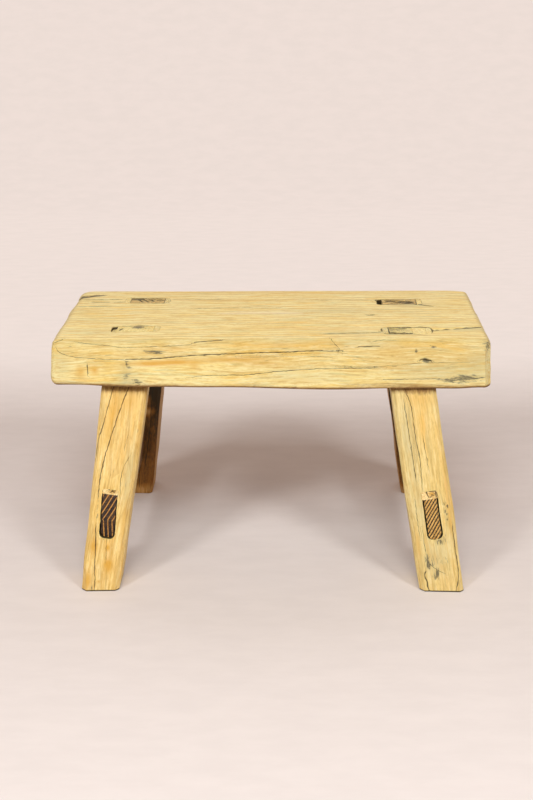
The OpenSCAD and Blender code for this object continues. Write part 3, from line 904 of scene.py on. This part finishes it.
# Cracks by leg: half width, depth, then stations across the outer face and up.
LEG_CRACKS = {
    "front_left": [
        (0.34, 0.4, (-11.2, 206), (-14.5, 183), (-18.2, 159), (-20.6, 140), (-20.9, 124)),
        (0.42, 0.6, (5.6, 208), (-3.4, 173), (-9.4, 145), (-12.8, 126), (-14.2, 107), (-13.7, 88)),
        (0.2, 0.15, (12.8, 130), (7.8, 119), (6.3, 108), (7.2, 96), (8.1, 87)),
        (0.45, 0.7, (-12.4, 64), (-10.3, 45), (-8.1, 21), (-6.4, 10), (-6, 0)),
        (0.24, 0.2, (0, 50), (0.6, 42), (1.9, 30)), (0.12, 0.05, (8, 150), (6.4, 141), (6, 134))],
    "front_right": [
        (0.34, 0.4, (-12.6, 186), (-12.6, 170), (-11.9, 146), (-11.5, 127), (-11.2, 106)),
        (0.32, 0.4, (-13, 204), (-6.9, 181), (-6.2, 170), (-6, 146), (-4.7, 127), (-6.1, 97)),
        (0.24, 0.2, (1, 150), (1.8, 132), (2.8, 115)),
        (0.55, 0.8, (-13, 21), (-14.8, 15), (-13.2, 9.5), (-13.6, 5.5), (-11.9, 0)),
        (0.5, 0.7, (18.6, 66), (19, 47), (19.4, 32), (19.2, 20), (17.6, 12), (13.8, 2), (13.4, 0)),
        (0.22, 0.12, (-14.6, 90), (-15, 70), (-14.4, 52)),
        (0.2, 0.12, (-11, 60), (-11.4, 48), (-10.8, 38)),
        (0.18, 0.1, (-9, 27.5), (-3, 22), (5, 18))],
    "rear_left": [
        (0.4, 0.5, (-6, 197), (-8, 160), (-7, 120), (-9, 84)),
        (0.4, 0.5, (9, 60), (10, 34), (8, 0))],
    "rear_right": [
        (0.4, 0.5, (7, 197), (5, 150), (6, 104)),
        (0.35, 0.4, (-10, 140), (-11, 90), (-9, 30), (-10, 0))],
}
# Cracks on the inner faces, given in the same way.
INNER_CRACKS = {
    "front_left": [(0.35, 0.4, (5, 190), (3, 140), (6, 108))],
    "front_right": [(0.4, 0.5, (-4, 40), (-6, 20), (-5, 0))],
    "rear_left": [
        (0.5, 0.6, (5, 196), (4, 150), (6.5, 112), (6, 96)),
        (0.5, 0.5, (9, 60), (8.4, 30), (9.4, 8)),
        (0.45, 0.4, (17, 190), (15, 140), (16, 90), (14, 40))],
    "rear_right": [(0.4, 0.5, (-16, 190), (-17, 120), (-15, 60))],
}
# Cracks in the end grain of the tenons, where they show in the sitting face.
TENON_CRACKS = {
    "front_left": [
        (0.8, 0.3, (-128, -57), (-121, -56)), (0.9, 0.4, (-152, -66), (-149, -58))],
    "front_right": [
        (1.3, 0.4, (117, -60.6), (126, -61.4), (137, -60.4)),
        (1.5, 0.4, (118, -75.4), (128, -76.2), (134, -75.2))],
    "rear_left": [
        (2, 0.5, (-155, 69), (-147, 70), (-141, 68)), (1, 0.5, (-147, 66), (-141, 54)),
        (1, 0.5, (-142, 68), (-134, 54)), (0.9, 0.5, (-136, 69), (-128, 56)),
        (0.9, 0.5, (-130, 69), (-121, 58)), (0.8, 0.5, (-125, 68), (-118, 61))],
    "rear_right": [
        (1.6, 0.6, (119, 50), (126, 55), (134, 51), (142, 53), (152, 46)),
        (1.2, 0.5, (119, 58), (128, 59), (140, 56), (150, 54)),
        (1, 0.4, (126, 46), (138, 47), (148, 43))],
}
def on_leg_front(across, up, off=0.0):
    return across, off - LEG_T / 2, up


# Soft marks by leg, on the face that looks to the front: reach is across, through and up.
# The first spot on each front leg, a band across its top just under the seat, is painted shade from
# the seat with some grime.
LEG_SOOT_AND_SHADE = {
    "front_left": spots(on_leg_front,
        (0, 198, 30, 12, 4.4, 0.9), (-14, 93, 1.6, 4, 5, 0.4), (-12.6, 76, 1.2, 4, 16, 0.5),
        (-8, 2, 2.4, 5, 4, 0.4), (-1, 50.6, 7, 4, 1, 0.6), (6, 82, 0.9, 4, 10, 0.4)),
    "front_right": spots(on_leg_front,
        (0, 198, 30, 12, 5.4, 1), (4.6, 49, 4.6, 5, 3, 1.1), (9.4, 54, 1.8, 5, 3, 0.5),
        (13.6, 85.6, 1.4, 4, 1.1, 2), (16, 83, 1.1, 4, 1.1, 2), (13, 78, 1.1, 4, 1.2, 1.8),
        (15, 75.4, 1.1, 4, 1.2, 1.8), (14, 70, 1.2, 4, 1.2, 2), (-9.4, 31, 3.4, 5, 6, 0.8),
        (-9.6, 25.4, 4, 5, 2.4, 0.8), (-3.2, 17, 2.2, 5, 3.8, 1.15), (-4.8, 14.4, 3, 5, 2, 0.8),
        (-1.8, 20, 1.8, 5, 2.8, 0.8), (3.6, 31, 8, 5, 4, 0.35), (-13.4, 12, 1.6, 4, 6, 0.3),
        (-11, 94, 1.6, 4, 4, 0.35), (5, 102, 1.6, 4, 1.6, 0.3)),
}
TENON_SOOT = {
    "front_left": spots(on_sitting_face, (-134, -53, 6, 6, 3, 2), (-152, -62, 3, 7, 3, 0.5)),
    "front_right": spots(on_sitting_face, (121, -68, 3.2, 7, 3, 0.9), (130, -66, 4.4, 6, 3, 0.7),
                         (137, -70, 2.6, 5, 3, 0.45)),
    "rear_left": spots(on_sitting_face, (-136, 60, 24, 12, 3, 0.8), (-147, 68, 9, 5, 3, 1.2)),
    "rear_right": spots(on_sitting_face, (138, 52, 18, 12, 3, 0.8), (146, 48, 7, 5, 3, 1.3)),
}
# Where the rear left leg's dark face has rubbed through to brown and tan.
RUBBED_THROUGH = spots(on_leg_front,
    (-2, 138, 7, 9, 7, 0.45), (9, 128, 6, 9, 9, 0.5), (-8, 120, 5, 9, 8, 0.4),
    (12, 112, 5, 9, 5, 0.6), (2, 100, 6, 9, 6, 0.3), (10, 156, 5, 9, 8, 0.3))
# How dark the painted shadow is in the line round each tenon's head, where the gap is.
RIM = {"front_left": 0.35, "front_right": 0.9, "rear_left": 0.6, "rear_right": 0.7}
LEG_RUST = {
    "front_left": spots(on_leg_front,
        (-12.6, 44, 3.2, 6, 6, 1), (-9.6, 40, 2, 6, 6, 0.5), (1.6, 42, 2, 5, 3, 1.2),
        (5.4, 24, 4.2, 5, 7, 1), (2.6, 27, 5, 5, 3, 0.4), (-13.6, 11, 4, 6, 8, 0.9),
        (-2.6, 9.4, 1.6, 4, 1.4, 0.8), (14.4, 66, 2, 6, 22, 0.6), (-12, 160, 5, 6, 26, 0.3),
        (4, 182, 14, 6, 12, 0.5), (-8, 172, 5, 6, 12, 0.3), (4, 140, 6, 6, 20, 0.2)),
    "front_right": spots(on_leg_front,
        (-17, 44, 2.2, 6, 18, 0.55), (17, 92, 2.4, 6, 34, 0.55), (17, 64, 1.6, 6, 12, 0.3),
        (-3, 33, 5, 6, 6, 0.3), (2, 160, 12, 6, 30, 0.25), (4, 186, 18, 6, 8, 0.35),
        (8, 10, 9, 6, 8, 0.25), (3, 24, 4, 6, 4, 0.3)),
}
LEG_BLOOM = {
    "front_left": spots(on_leg_front, (12, 120, 6, 6, 22, 0.35), (14, 100, 4, 6, 30, 0.4)),
    "front_right": spots(on_leg_front,
        (-14, 150, 7, 6, 40, 0.55), (-2, 30, 14, 6, 14, 0.5), (8, 52, 8, 6, 14, 0.35),
        (-12, 80, 7, 6, 30, 0.4)),
}
# Knots push the rings outwards round their middle: the strength is the push. The rear pair's are
# in their back faces.
LEG_KNOTS = {
    "front_left": spots(on_leg_front, (9, 96, 10, 30, 24, 5)),
    "front_right": spots(on_leg_front, (3, 21, 11, 30, 13, 4)),
    "rear_left": spots(on_leg_front, (2, 70, 9, 30, 14, 7, LEG_T)),
    "rear_right": spots(on_leg_front, (6, 60, 9, 30, 14, 8, LEG_T)),
}
TENON_TINT = {"front_left": (1.06, 1.22, 1.3, 1.0), "front_right": (1.04, 1.14, 1.16, 1.0),
              "rear_left": (1.55, 2.1, 2.6, 1.0), "rear_right": (1.55, 2.1, 2.6, 1.0)}
LEG_TONES = {
    "front_left": wood_tones(
        pale=(244, 218, 148), warm=(236, 204, 124), late=(198, 154, 74), light=(250, 230, 172),
        pore=(140, 104, 52), gold=(238, 186, 88), grey=(206, 180, 118), grime=(52, 38, 22),
        rubbed=(140, 98, 48)),
    "front_right": wood_tones(
        pale=(238, 218, 152), warm=(230, 204, 130), late=(192, 158, 84), light=(246, 230, 176),
        pore=(126, 104, 60), gold=(238, 194, 100), grey=(198, 184, 128), grime=(52, 40, 24),
        rubbed=(136, 98, 50)),
    "rear_left": wood_tones(
        pale=(212, 164, 92), warm=(190, 140, 70), late=(138, 94, 40), light=(224, 184, 124),
        pore=(84, 56, 28), gold=(196, 142, 66), grey=(150, 128, 92), grime=(58, 44, 18),
        rubbed=(148, 96, 28)),
}
LEG_TONES["rear_right"] = LEG_TONES["rear_left"]
# The order of a frame's columns that puts the grain first, for wood that runs up it or through it.
UP_FIRST, THROUGH_FIRST = [2, 0, 1], [1, 2, 0]
LEG_HEARTS = {"front_left": (58.0, 150.0), "front_right": (-46.0, 130.0),
              "rear_left": (30.0, 90.0), "rear_right": (-60.0, 70.0)}

for name, (side, end) in LEGS.items():
    foot, leg_axes = leg_frame(side, end)
    a, b, heights = leg_rings(name)
    rings = at_height(foot, leg_axes, a, b, heights)
    body_share = ease(SEAT_BASE + 0.4, SEAT_BASE - 2.0, rings[..., 2])
    normals = ring_normals(rings)
    seed = 90 + list(LEGS).index(name)
    x, y, z = (rings[..., k] for k in range(3))
    uneven = 0.4 * wander(seed, 60.0, x, y, z * 0.5) + 0.14 * wander(seed + 9, 14.0, x, y, z * 0.3)
    rings = rings + normals * (uneven * body_share * ease(0.0, 4.0, z))[..., None]
    rings = with_end_caps(rings, steps=13, bulge=0.0)
    points = rings.reshape(-1, 3)
    at_top = points[:, 2] > SEAT_TOP - 0.7
    points[:, 2] += at_top * (1.0 - TOP_TRUENESS) * hand_planed(*points.T)
    normals = ring_normals(rings).reshape(-1, 3)
    flat = in_leg_frame(points, foot, leg_axes)

    cracks = cracks_on(on_leg(name, end), *LEG_CRACKS[name])
    cracks += cracks_on(on_leg(name, -end), *INNER_CRACKS[name])
    cracks += cracks_on(on_top, *TENON_CRACKS[name])
    sink, crack_side, crack_near = cut_cracks(points, normals, cracks, seed=200 + seed)
    points = points - normals * sink[:, None]
    # The inner face, towards the other leg on its side, keeps its dark surface. On the rear legs it
    # is darkest up under the seat and fades towards the floor, partly that stain and partly painted
    # shade from the seat; on the front legs the flank towards the stool's middle also grows a
    # little darker towards the seat.
    inner_face = ease(0.2, 0.6, normals @ (leg_axes[:, 1] * -end))
    inner_flank = ease(0.8, 0.97, normals @ (leg_axes[:, 0] * -side))
    tenon_part = ease(SEAT_BASE + 0.2, SEAT_BASE + 1.0, points[:, 2])
    below = ease(190.0, 10.0, points[:, 2])
    if end == REAR:
        patina = inner_face * (1.0 - 0.52 * below - 0.4 * ease(16.0, 5.0, points[:, 2]))
        patina = patina - patches(flat, RUBBED_THROUGH) * (name == "rear_left")
        patina = (patina + 0.1) * (1 - 0.8 * inner_flank)
    else:
        patina = 0.62 * inner_face + 0.12 * inner_flank * ease(120.0, 190.0, points[:, 2])
    sole = ease(-0.5, -0.9, normals[:, 2]) * (points[:, 2] < 2.0)
    # Painted shade with some grime: every leg's top is darkened just under the seat.
    under_seat_shade_and_grime = ease(184.0, 196.0, points[:, 2]) * (1 - tenon_part)
    patina = patina * (1 - tenon_part) + 0.75 * sole + 0.6 * under_seat_shade_and_grime
    patina = np.clip(patina, 0.0, 1.0)
    soot = patches(flat, LEG_SOOT_AND_SHADE.get(name, [])) * (1 - tenon_part)
    soot = soot + patches(points, TENON_SOOT[name])
    # Painted shadow: a dark line rims the tenon's head, for the gap round it, and on the front legs
    # another runs round the foot at the floor, for the shadow where it stands on it, with some
    # dirt.
    to_rim = np.minimum(TENON_LEN / 2 - np.abs(flat[:, 0]), TENON_W / 2 - np.abs(flat[:, 1]))
    rim = RIM[name] * ease(1.7, 0.6, to_rim + 0.5 * wander(seed, 4.0, *points.T)) * at_top
    foot_shadow_and_dirt = 0.9 * ease(2.0, 1.0, points[:, 2]) * (end == FRONT)
    marks = dict(
        crack_side=crack_side, crack_near=crack_near, soot=soot,
        rust=patches(flat, LEG_RUST.get(name, [])) * (1 - tenon_part),
        bloom=patches(flat, LEG_BLOOM.get(name, [])) * (1 - tenon_part),
        rub=np.zeros(len(points)), patina=patina, cut=np.maximum(rim, foot_shadow_and_dirt),
        swell=patches(flat, LEG_KNOTS[name]), bleach=1.0 - tenon_part)
    leg = closed_skin("leg_" + name, points.reshape(rings.shape), marks)
    cut_out(leg, [leg_mortise_cutter(side, end)])
    leg_wood = wood_finish("leg_wood_" + name, leg_axes[:, UP_FIRST], foot, ring_gap=3.4,
                           heart=LEG_HEARTS[name], seed=10.0 + seed, stray=9.0,
                           tones={**LEG_TONES[name], "dull": TENON_TINT[name]})
    finish_piece(leg, leg_wood, name + "_leg")


# ---------------------------------------------------------------- stretchers
# One bar of strongly striped softwood on each side, shouldered against its two legs and tenoned
# right through them. Its tenons are cut off flush with the legs' outer faces, so their end grain
# shows; the left one's front end is also bevelled below, where a splinter broke away.
BEVEL, BEVEL_SHARE = 4.0, 0.42


def stretcher_rings(side):
    """Rings along a stretcher, in the side frame, from the middle of its front end to the middle of
    its rear end: each is a rounded rectangle, the tenon's or the bar's, shrunk to a point at the
    ends. A ring's y comes from its distance inside the leg's outer face, at each point's height."""
    top_z = STRETCHER_Z + TENON_H[side]
    middle_z = (STRETCHER_Z + top_z) / 2
    depth = np.array([0.0] * 12 + [0.15, 0.5, 1.5, 4.0, 8.0, 16.0, 26.0, 36.0, 41.9])
    shrink = np.concatenate([np.linspace(0.02, 0.94, 11), [0.975], np.ones(9)])
    shrink = np.where(depth == 0.15, 1.0, shrink)
    grid = dict(sides=(14, 44, 14, 44), arcs=(6, 6, 6, 6))
    rows = []
    for end in (FRONT, REAR):
        half = TENON_T / 2 - JOINT_GAP[side, end]
        arris = corner_shrink(depth, 0.6, 0.3)[:, None]
        a, b = rounded_rings(-half + arris, half - arris, STRETCHER_Z + arris, top_z - arris,
                             [MORTISE_ROUND, MORTISE_ROUND, 0.7, 0.7], **grid)
        a = a * shrink[:, None]
        b = middle_z + (b - middle_z) * shrink[:, None]
        a = a + joint_middle(side, end, b) + 0.1 * wander(120 + side + end, 7.0, a, b)
        y = leg_face_y(side, end, b, LEG_T / 2 - 0.1 - depth[:, None])
        y = y + end * 0.12 * wander(130 + side + end, 5.0, a, b) * ease(2.0, 0.0, depth)[:, None]
        if (side, end) == (LEFT, FRONT):
            kink = STRETCHER_Z + BEVEL_SHARE * TENON_H[side]
            cut_back = BEVEL * np.clip((kink - b) / (kink - STRETCHER_Z), 0.0, 1.0)
            y = y + cut_back * ease(12.0, 0.0, depth)[:, None]
        rows.append((a, y, b))
    share = np.linspace(0.0, 1.0, 60)[:, None]
    half = np.full_like(share, STRETCHER_T / 2)
    a, b = rounded_rings(-half, half, middle_z - STRETCHER_H / 2, middle_z + STRETCHER_H / 2,
                         [2.6] * 4, flat=0.5, **grid)
    a = a + side * STRETCHER_OUT
    y = (leg_face_y(side, FRONT, b, -LEG_T / 2) * (1 - share)
         + leg_face_y(side, REAR, b, -LEG_T / 2) * share)
    rough = (0.35 * wander(140 + side, 40.0, a, y * 0.4, b)
             + 0.15 * wander(150 + side, 12.0, a, y * 0.3, b))
    middle = np.sin(math.pi * share)
    a = a + np.sign(a - side * STRETCHER_OUT) * rough * middle
    b = b + rough * middle * ease(0.6, 0.95, np.abs(b - b.mean()) / (STRETCHER_H / 2))
    front, rear = rows
    return [np.concatenate([front[k], (a, y, b)[k], rear[k][::-1]]) for k in range(3)]


STRETCHER_TONES = {
    LEFT: wood_tones(
        pale=(214, 154, 74), warm=(170, 116, 56), late=(34, 26, 28), light=(226, 170, 92),
        pore=(34, 26, 26), gold=(204, 138, 54), grey=(120, 92, 60), grime=(32, 26, 20),
        rubbed=(128, 90, 50)),
    RIGHT: wood_tones(
        pale=(228, 184, 104), warm=(212, 166, 88), late=(44, 32, 22), light=(234, 194, 118),
        pore=(70, 50, 30), gold=(212, 158, 72), grey=(166, 136, 88), grime=(36, 28, 20),
        rubbed=(132, 96, 54))}
# For each side: the direction in which the stripes follow each other, across and up; how far apart
# they are; and where in each ring the dark part begins and is full.
STRIPES = {LEFT: ((0.883, -0.469), 4.2, (0.14, 0.26)), RIGHT: ((0.788, -0.616), 2.7, (0.4, 0.62))}
HEART_AWAY = 500.0
for side, name in ((LEFT, "left"), (RIGHT, "right")):
    a, y, b = stretcher_rings(side)
    rings = in_side_frame(side, a, y, b)
    (stripe_x, stripe_z), stripe_gap, dark_part = STRIPES[side]
    # Below the left end's break the stripes turn nearly upright.
    kink = STRETCHER_Z + BEVEL_SHARE * TENON_H[side]
    lower = np.clip(kink - b, 0.0, 99.0) if side == LEFT else 0.0 * b
    turned_by = (1.0 - stripe_x) * a * ease(0.0, 1.0, lower) - (0.15 - stripe_z) * lower
    near_front = ease(-60.0, -100.0, y)
    depth = np.minimum(y - leg_face_y(side, FRONT, b, LEG_T / 2),
                       leg_face_y(side, REAR, b, LEG_T / 2) - y)
    bevel = BEVEL * np.clip(lower / (BEVEL_SHARE * TENON_H[side]), 0.0, 1.0) * near_front
    # Where a tenon runs inside its leg it carries painted shadow, dark in the gap round it.
    marks = plain_marks(
        rings.shape[:2], patina=0.5 * ease(40.0, 48.0, depth), swell=turned_by * near_front,
        soot=0.4 * np.exp(-((lower - 0.6) / 0.8) ** 2) * near_front * (side == LEFT),
        cut=ease(bevel + 0.25, bevel + 1.1, depth) * ease(43.0, 41.0, depth), bleach=1.0)
    bar = closed_skin("stretcher_" + name, rings, marks)
    lean_axes = turned(-side * LEAN, "Y")
    heart = (72.0 - stripe_z * HEART_AWAY, side * STRETCHER_OUT - stripe_x * HEART_AWAY)
    bar_wood = wood_finish("stretcher_wood_" + name, lean_axes[:, THROUGH_FIRST],
                           (side * FOOT_X, 0.0, 0.0), heart=heart, ring_gap=stripe_gap,
                           tones=STRETCHER_TONES[side], grown_late=1.0, seed=40.0 + side, stray=3.4,
                           late_part=dark_part, even=0.94, dark_late=0.85)
    finish_piece(bar, bar_wood, name + "_stretcher", sharp=30.0)


# ---------------------------------------------------------------- wedges and packing
# Thin split wedges of pale wood, driven in beside each leg's tenon in the seat and above each
# stretcher's tenon in the legs, then trimmed flush. Two have since sunk. A block packs out the
# front right tenon on its outer side.
WEDGE_TONES = wood_tones(pale=(251, 232, 178), warm=(244, 218, 150), late=(200, 158, 92),
                   light=(253, 240, 200), pore=(120, 88, 46), gold=(240, 198, 104),
                   grey=(212, 192, 140), grime=(58, 42, 26),
                   rubbed=(140, 104, 58))
SUNK = {"front_left_outer": 3.0, "rear_right_inner": 8.0}


def block_heights(top):
    """Heights of a block's rings, from the seat's underside up, closer together at its head."""
    return np.concatenate([np.linspace(SEAT_BASE + 0.3, top - 1.2, 14),
                           [top - 0.5, top - 0.15, top]])[:, None]


def seat_block(name, node, side, end, z, low, high, curves, seed, tint, soiled):
    """A block in a seat mortise: level rings at the heights z between the distances low and high
    across the leg's frame, with corners as round as curves says at each, or as its width allows.
    tint and soiled are how much bloom and soot its head has."""
    foot, leg_axes = leg_frame(side, end)
    top = z[-1, 0]
    arris = corner_shrink(top - z, 0.5, 0.25)
    low, high = low + arris, high - arris
    round_low, round_high = (np.minimum(curve, 0.8 * (high - low)) for curve in curves)
    a, b = rounded_rings(low, high, -TENON_W / 2 + arris, TENON_W / 2 - arris,
                         [round_low, round_high, round_high, round_low],
                         sides=(12, 30, 12, 30), arcs=(6, 6, 6, 6))
    rings = with_end_caps(at_height(foot, leg_axes, a, b, z), steps=7, bulge=0.0)
    x, y, height = (rings[..., k] for k in range(3))
    head = height > top - 0.7
    height += head * ((1.0 - TOP_TRUENESS) * hand_planed(x, y, height)
                      + 0.14 * wander(seed, 3.0, x, y))
    flat = in_leg_frame(rings, foot, leg_axes)
    dirt = 0.5 + 0.5 * wander(7, 3.2, flat[..., 0], flat[..., 1])
    # Below its head the block carries painted shadow, dark in the gap beside it.
    piece = closed_skin(name, rings, plain_marks(
        rings.shape[:2], bloom=tint * head, soot=soiled * dirt * head, cut=0.7 * (1.0 - head),
        bleach=1.0 * head))
    wood = wood_finish("wedge_wood_" + name, leg_axes[:, UP_FIRST], foot, heart=(90.0, 30.0),
                       ring_gap=2.6, tones={**SEAT_TONES, "dull": NO_SHADE_AND_TINT}, seed=60.0 + seed,
                       stray=5.0)
    finish_piece(piece, wood, node)


SEAT_HEADS = {  # bloom and soot on each wedge's head
    "front_left_outer": (0.1, 0.5), "front_left_inner": (0.2, 0.3),
    "front_right_outer": (0.0, 0.3), "front_right_inner": (0.3, 0.5),
    "rear_left_outer": (0.0, 0.2), "rear_left_inner": (0.2, 0.7),
    "rear_right_outer": (0.0, 0.1), "rear_right_inner": (0.2, 0.9),
}
for number, (key, (tint, soiled)) in enumerate(SEAT_HEADS.items()):
    leg_name, which = key.rsplit("_", 1)
    side, end = LEGS[leg_name]
    z = block_heights(SEAT_TOP - SUNK.get(key, 0.05))
    # The wedge tapers between the tenon's upright end and the mortise's flared one.
    low, high, curves = TENON_LEN / 2 + 0.12, mortise_end(z), (0.3, 4.6)
    if (which == "outer") == (side == LEFT):
        low, high, curves = -high, -low, curves[::-1]
    seat_block("wedge_" + key, key + "_wedge", side, end, z, low, high, curves, number, tint,
               soiled)

seat_block("packing_front_right", "front_right_packing", RIGHT, FRONT,
           block_heights(SEAT_TOP - 0.05), TENON_LEN / 2 - PACKING_LEN + 0.1, TENON_LEN / 2,
           (0.6, 0.6), seed=9, tint=0.0, soiled=0.1)


def stretcher_wedge(side, end, name, cracks, rust_rows=(), soot_rows=()):
    """A wedge above a stretcher's tenon: rings across it from its crushed head, flush with the
    leg's outer face, to its thin end, with its top sloping as the mortise does. Cracks and rows of
    spots are given across the leg's face and up."""
    offsets = np.array([LEG_T / 2] * 9 + [20.9, 20.6, 20, 18, 14, 8, 0, -8, -14.9])[:, None]
    shrink = np.concatenate([np.linspace(0.03, 0.96, 9), np.ones(9)])[:, None]
    half = TENON_T / 2 - 0.05
    base = STRETCHER_Z + TENON_H[side] + 0.03
    arris = corner_shrink(LEG_T / 2 - offsets, 0.5, 0.25)
    a, b = rounded_rings(-half + arris, half - arris,
                         base + arris, wedge_top(side, offsets) - 0.1 - arris,
                         [0.3, 0.3, 0.6, 0.7], sides=(30, 12, 30, 12), arcs=(3, 3, 3, 3))
    middle_b = b.mean(axis=1, keepdims=True)
    a, b = a * shrink, middle_b + (b - middle_b) * shrink
    crushed = ease(1.5, 0.0, LEG_T / 2 - offsets)
    a = a + joint_middle(side, end, b)
    y = leg_face_y(side, end, b, offsets - 0.15 * crushed)
    y = y + end * crushed * 0.3 * wander(160 + side + end, 3.2, a, b)
    rings = in_side_frame(side, a, y, b)
    points = rings.reshape(-1, 3)
    foot, leg_axes = leg_frame(side, end)
    normals = np.broadcast_to(leg_axes[:, 1] * end, points.shape)
    flat = in_leg_frame(points, foot, leg_axes)
    paths = cracks_on(on_leg(name, end), *cracks)
    sink, crack_side, crack_near = cut_cracks(points, normals, paths, seed=300 + side + end)
    points = points - normals * sink[:, None]
    marks = plain_marks(len(points), crack_side=crack_side, crack_near=crack_near,
                        rust=patches(flat, spots(on_leg_front, *rust_rows)),
                        soot=patches(flat, spots(on_leg_front, *soot_rows)), bleach=1.0)
    piece = closed_skin("wedge_" + name + "_stretcher", points.reshape(rings.shape),
                        {k: v.reshape(rings.shape[:2]) for k, v in marks.items()})
    wood = wood_finish("wedge_wood_" + name + "_stretcher",
                       turned(-side * LEAN, "Y")[:, THROUGH_FIRST], (side * FOOT_X, 0.0, 0.0),
                       heart=(150.0, 30.0), ring_gap=2.6, tones=WEDGE_TONES, grown_late=0.4,
                       seed=80.0 + side * 2 + end, stray=5.0)
    finish_piece(piece, wood, name + "_stretcher_wedge")


stretcher_wedge(LEFT, FRONT, "front_left",
                [(0.4, 0.4, (-5, 97), (-2, 98.4), (2, 97.2), (5, 97.6)),
                 (0.4, 0.4, (-3.4, 94.6), (0, 95.2), (2.4, 94.4))],
                [(0, 96, 3.4, 6, 2.4, 1.2)],
                [(-0.6, 96.4, 2.6, 6, 1.5, 1.1), (1.6, 94.6, 1.6, 6, 1.2, 0.9),
                 (0, 98, 3.4, 6, 0.7, 1)])
stretcher_wedge(RIGHT, FRONT, "front_right",
                [(0.55, 0.6, (-0.6, 90.4), (-1.2, 93), (-2.6, 95.6), (-2, 97.6)),
                 (0.5, 0.5, (-2, 97.2), (2, 96.8), (6.6, 97.6)),
                 (0.5, 0.5, (6.2, 97.6), (6.8, 94), (6.6, 90.6)),
                 (0.45, 0.4, (1.8, 93.6), (5.4, 93.4)), (0.45, 0.4, (0.4, 90.8), (2.4, 92.6))],
                [(2.6, 94.4, 4, 6, 3.4, 1)],
                [(6.6, 95, 0.8, 6, 3, 0.8), (3, 92.4, 1.6, 6, 1, 0.6)])
stretcher_wedge(LEFT, REAR, "rear_left", [(0.3, 0.3, (-5, 95), (4, 96))])
stretcher_wedge(RIGHT, REAR, "rear_right", [(0.3, 0.3, (-4, 94), (5, 95))])


# ---------------------------------------------------------------- floor, light and camera
# A pale plain floor that turns up into a plain wall well behind, softly lit from within past the
# stool's shadow, with three soft lamps in front and above, and the camera a little above the stool.
GLOW_FROM, GLOW_FULL = 0.34, 0.74  # in metres behind the stool's middle
BLACK = (0.0, 0.0, 0.0, 1.0)


def studio_finish():
    """A matt pinkish white, faintly mottled, that passes into an evenly glowing one at the back."""
    finish = Finish("studio_white")
    place = finish.node("ShaderNodeTexCoord", {}, {}, "Object")
    mottle = finish.noise(finish.drawn_out(place, 0.05, 0.02), 4.0, 0.6, 1.0)
    lighter = mottle.step(0.3, 0.7)
    tone = finish.blend(lighter, paint(231, 226, 225), paint(235, 230, 229))
    glow = finish.blend(lighter, paint(235, 220, 212), paint(239, 223, 215))
    far = finish.node("ShaderNodeSeparateXYZ", {}, {"Vector": place}, "Y")
    far = far.step(GLOW_FROM, GLOW_FULL)
    return finish.done(mottle, 0.2, 0.001, {
        "Base Color": finish.blend(far, tone, BLACK), "Roughness": 0.85,
        "Specular IOR Level": 0.1, "Emission Color": finish.blend(far, BLACK, glow),
        "Emission Strength": 1.0})


FLOOR_BACK, COVE, WALL_TOP, FLOOR_FRONT, HALF_WIDE = 1900.0, 300.0, 5000.0, -6000.0, 5000.0
turn = np.linspace(0.0, math.pi / 2, 14)  # the cove is a quarter circle
run_y = np.concatenate([[FLOOR_FRONT, 0.0], FLOOR_BACK + COVE * np.sin(turn), [FLOOR_BACK + COVE]])
run_z = np.concatenate([[0.0, 0.0], COVE * (1 - np.cos(turn)), [WALL_TOP]])
edges = [np.stack([np.full_like(run_y, x), run_y, run_z], axis=-1) for x in (-HALF_WIDE, HALF_WIDE)]
count = len(run_y)
row = np.arange(count - 1)
backdrop = new_piece("backdrop", np.concatenate(edges),
                     [np.stack([row, row + count, row + count + 1, row + 1], axis=-1)])
backdrop.data.materials.append(studio_finish())


LAMP_AIM, LAMP_AWAY = np.array([0.0, 0.0, 0.15]), 2.4
WARM_WHITE, COOL_WHITE = (1.0, 0.985, 0.96), (0.97, 0.98, 0.97)


def soft_lamp(name, azimuth, height, size, power, colour):
    """A square soft lamp that looks at the stool: azimuth is counted from the front towards the
    right and height is above the floor, both in degrees."""
    lamp = bpy.data.lights.new(name, "AREA")
    lamp.shape, lamp.size, lamp.energy, lamp.color = "SQUARE", size, power, colour
    holder = bpy.data.objects.new(name, lamp)
    bpy.context.scene.collection.objects.link(holder)
    azimuth, height = math.radians(azimuth), math.radians(height)
    level = math.cos(height)
    away = np.array([math.sin(azimuth) * level, -math.cos(azimuth) * level, math.sin(height)])
    holder.location = LAMP_AIM + LAMP_AWAY * away
    right = np.cross((0, 0, 1), away) / level
    holder.rotation_euler = Matrix(
        [list(row) for row in np.stack([right, np.cross(away, right), away], axis=1)]).to_euler()


soft_lamp("lamp_left", -34, 33, 0.42, 16.0, WARM_WHITE)
soft_lamp("lamp_right", 36, 36, 0.42, 15.6, WARM_WHITE)
soft_lamp("lamp_front", 0, 48, 1.0, 23.5, COOL_WHITE)

world = bpy.data.worlds.new("room")
world.use_nodes = True
room_light = world.node_tree.nodes["Background"].inputs
room_light["Color"].default_value = (1.0, 0.6, 0.38, 1.0)
room_light["Strength"].default_value = 0.22
bpy.context.scene.world = world
bpy.context.scene.view_settings.view_transform = "Standard"

CAMERA_PLACE = (0.0294, -1.4212, 0.6048)
CAMERA_PAN, CAMERA_TILT, CAMERA_ROLL = (math.radians(angle) for angle in (1.44, -17.72, -0.49))
camera = bpy.data.cameras.new("camera")
camera.lens, camera.sensor_width = 63.0, 36.0
camera_holder = bpy.data.objects.new("camera", camera)
bpy.context.scene.collection.objects.link(camera_holder)
camera_holder.location = CAMERA_PLACE
camera_turn = (Matrix.Rotation(CAMERA_PAN, 3, "Z")
               @ Matrix.Rotation(math.pi / 2 + CAMERA_TILT, 3, "X")
               @ Matrix.Rotation(CAMERA_ROLL, 3, "Z"))
camera_holder.rotation_euler = camera_turn.to_euler()
bpy.context.scene.camera = camera_holder
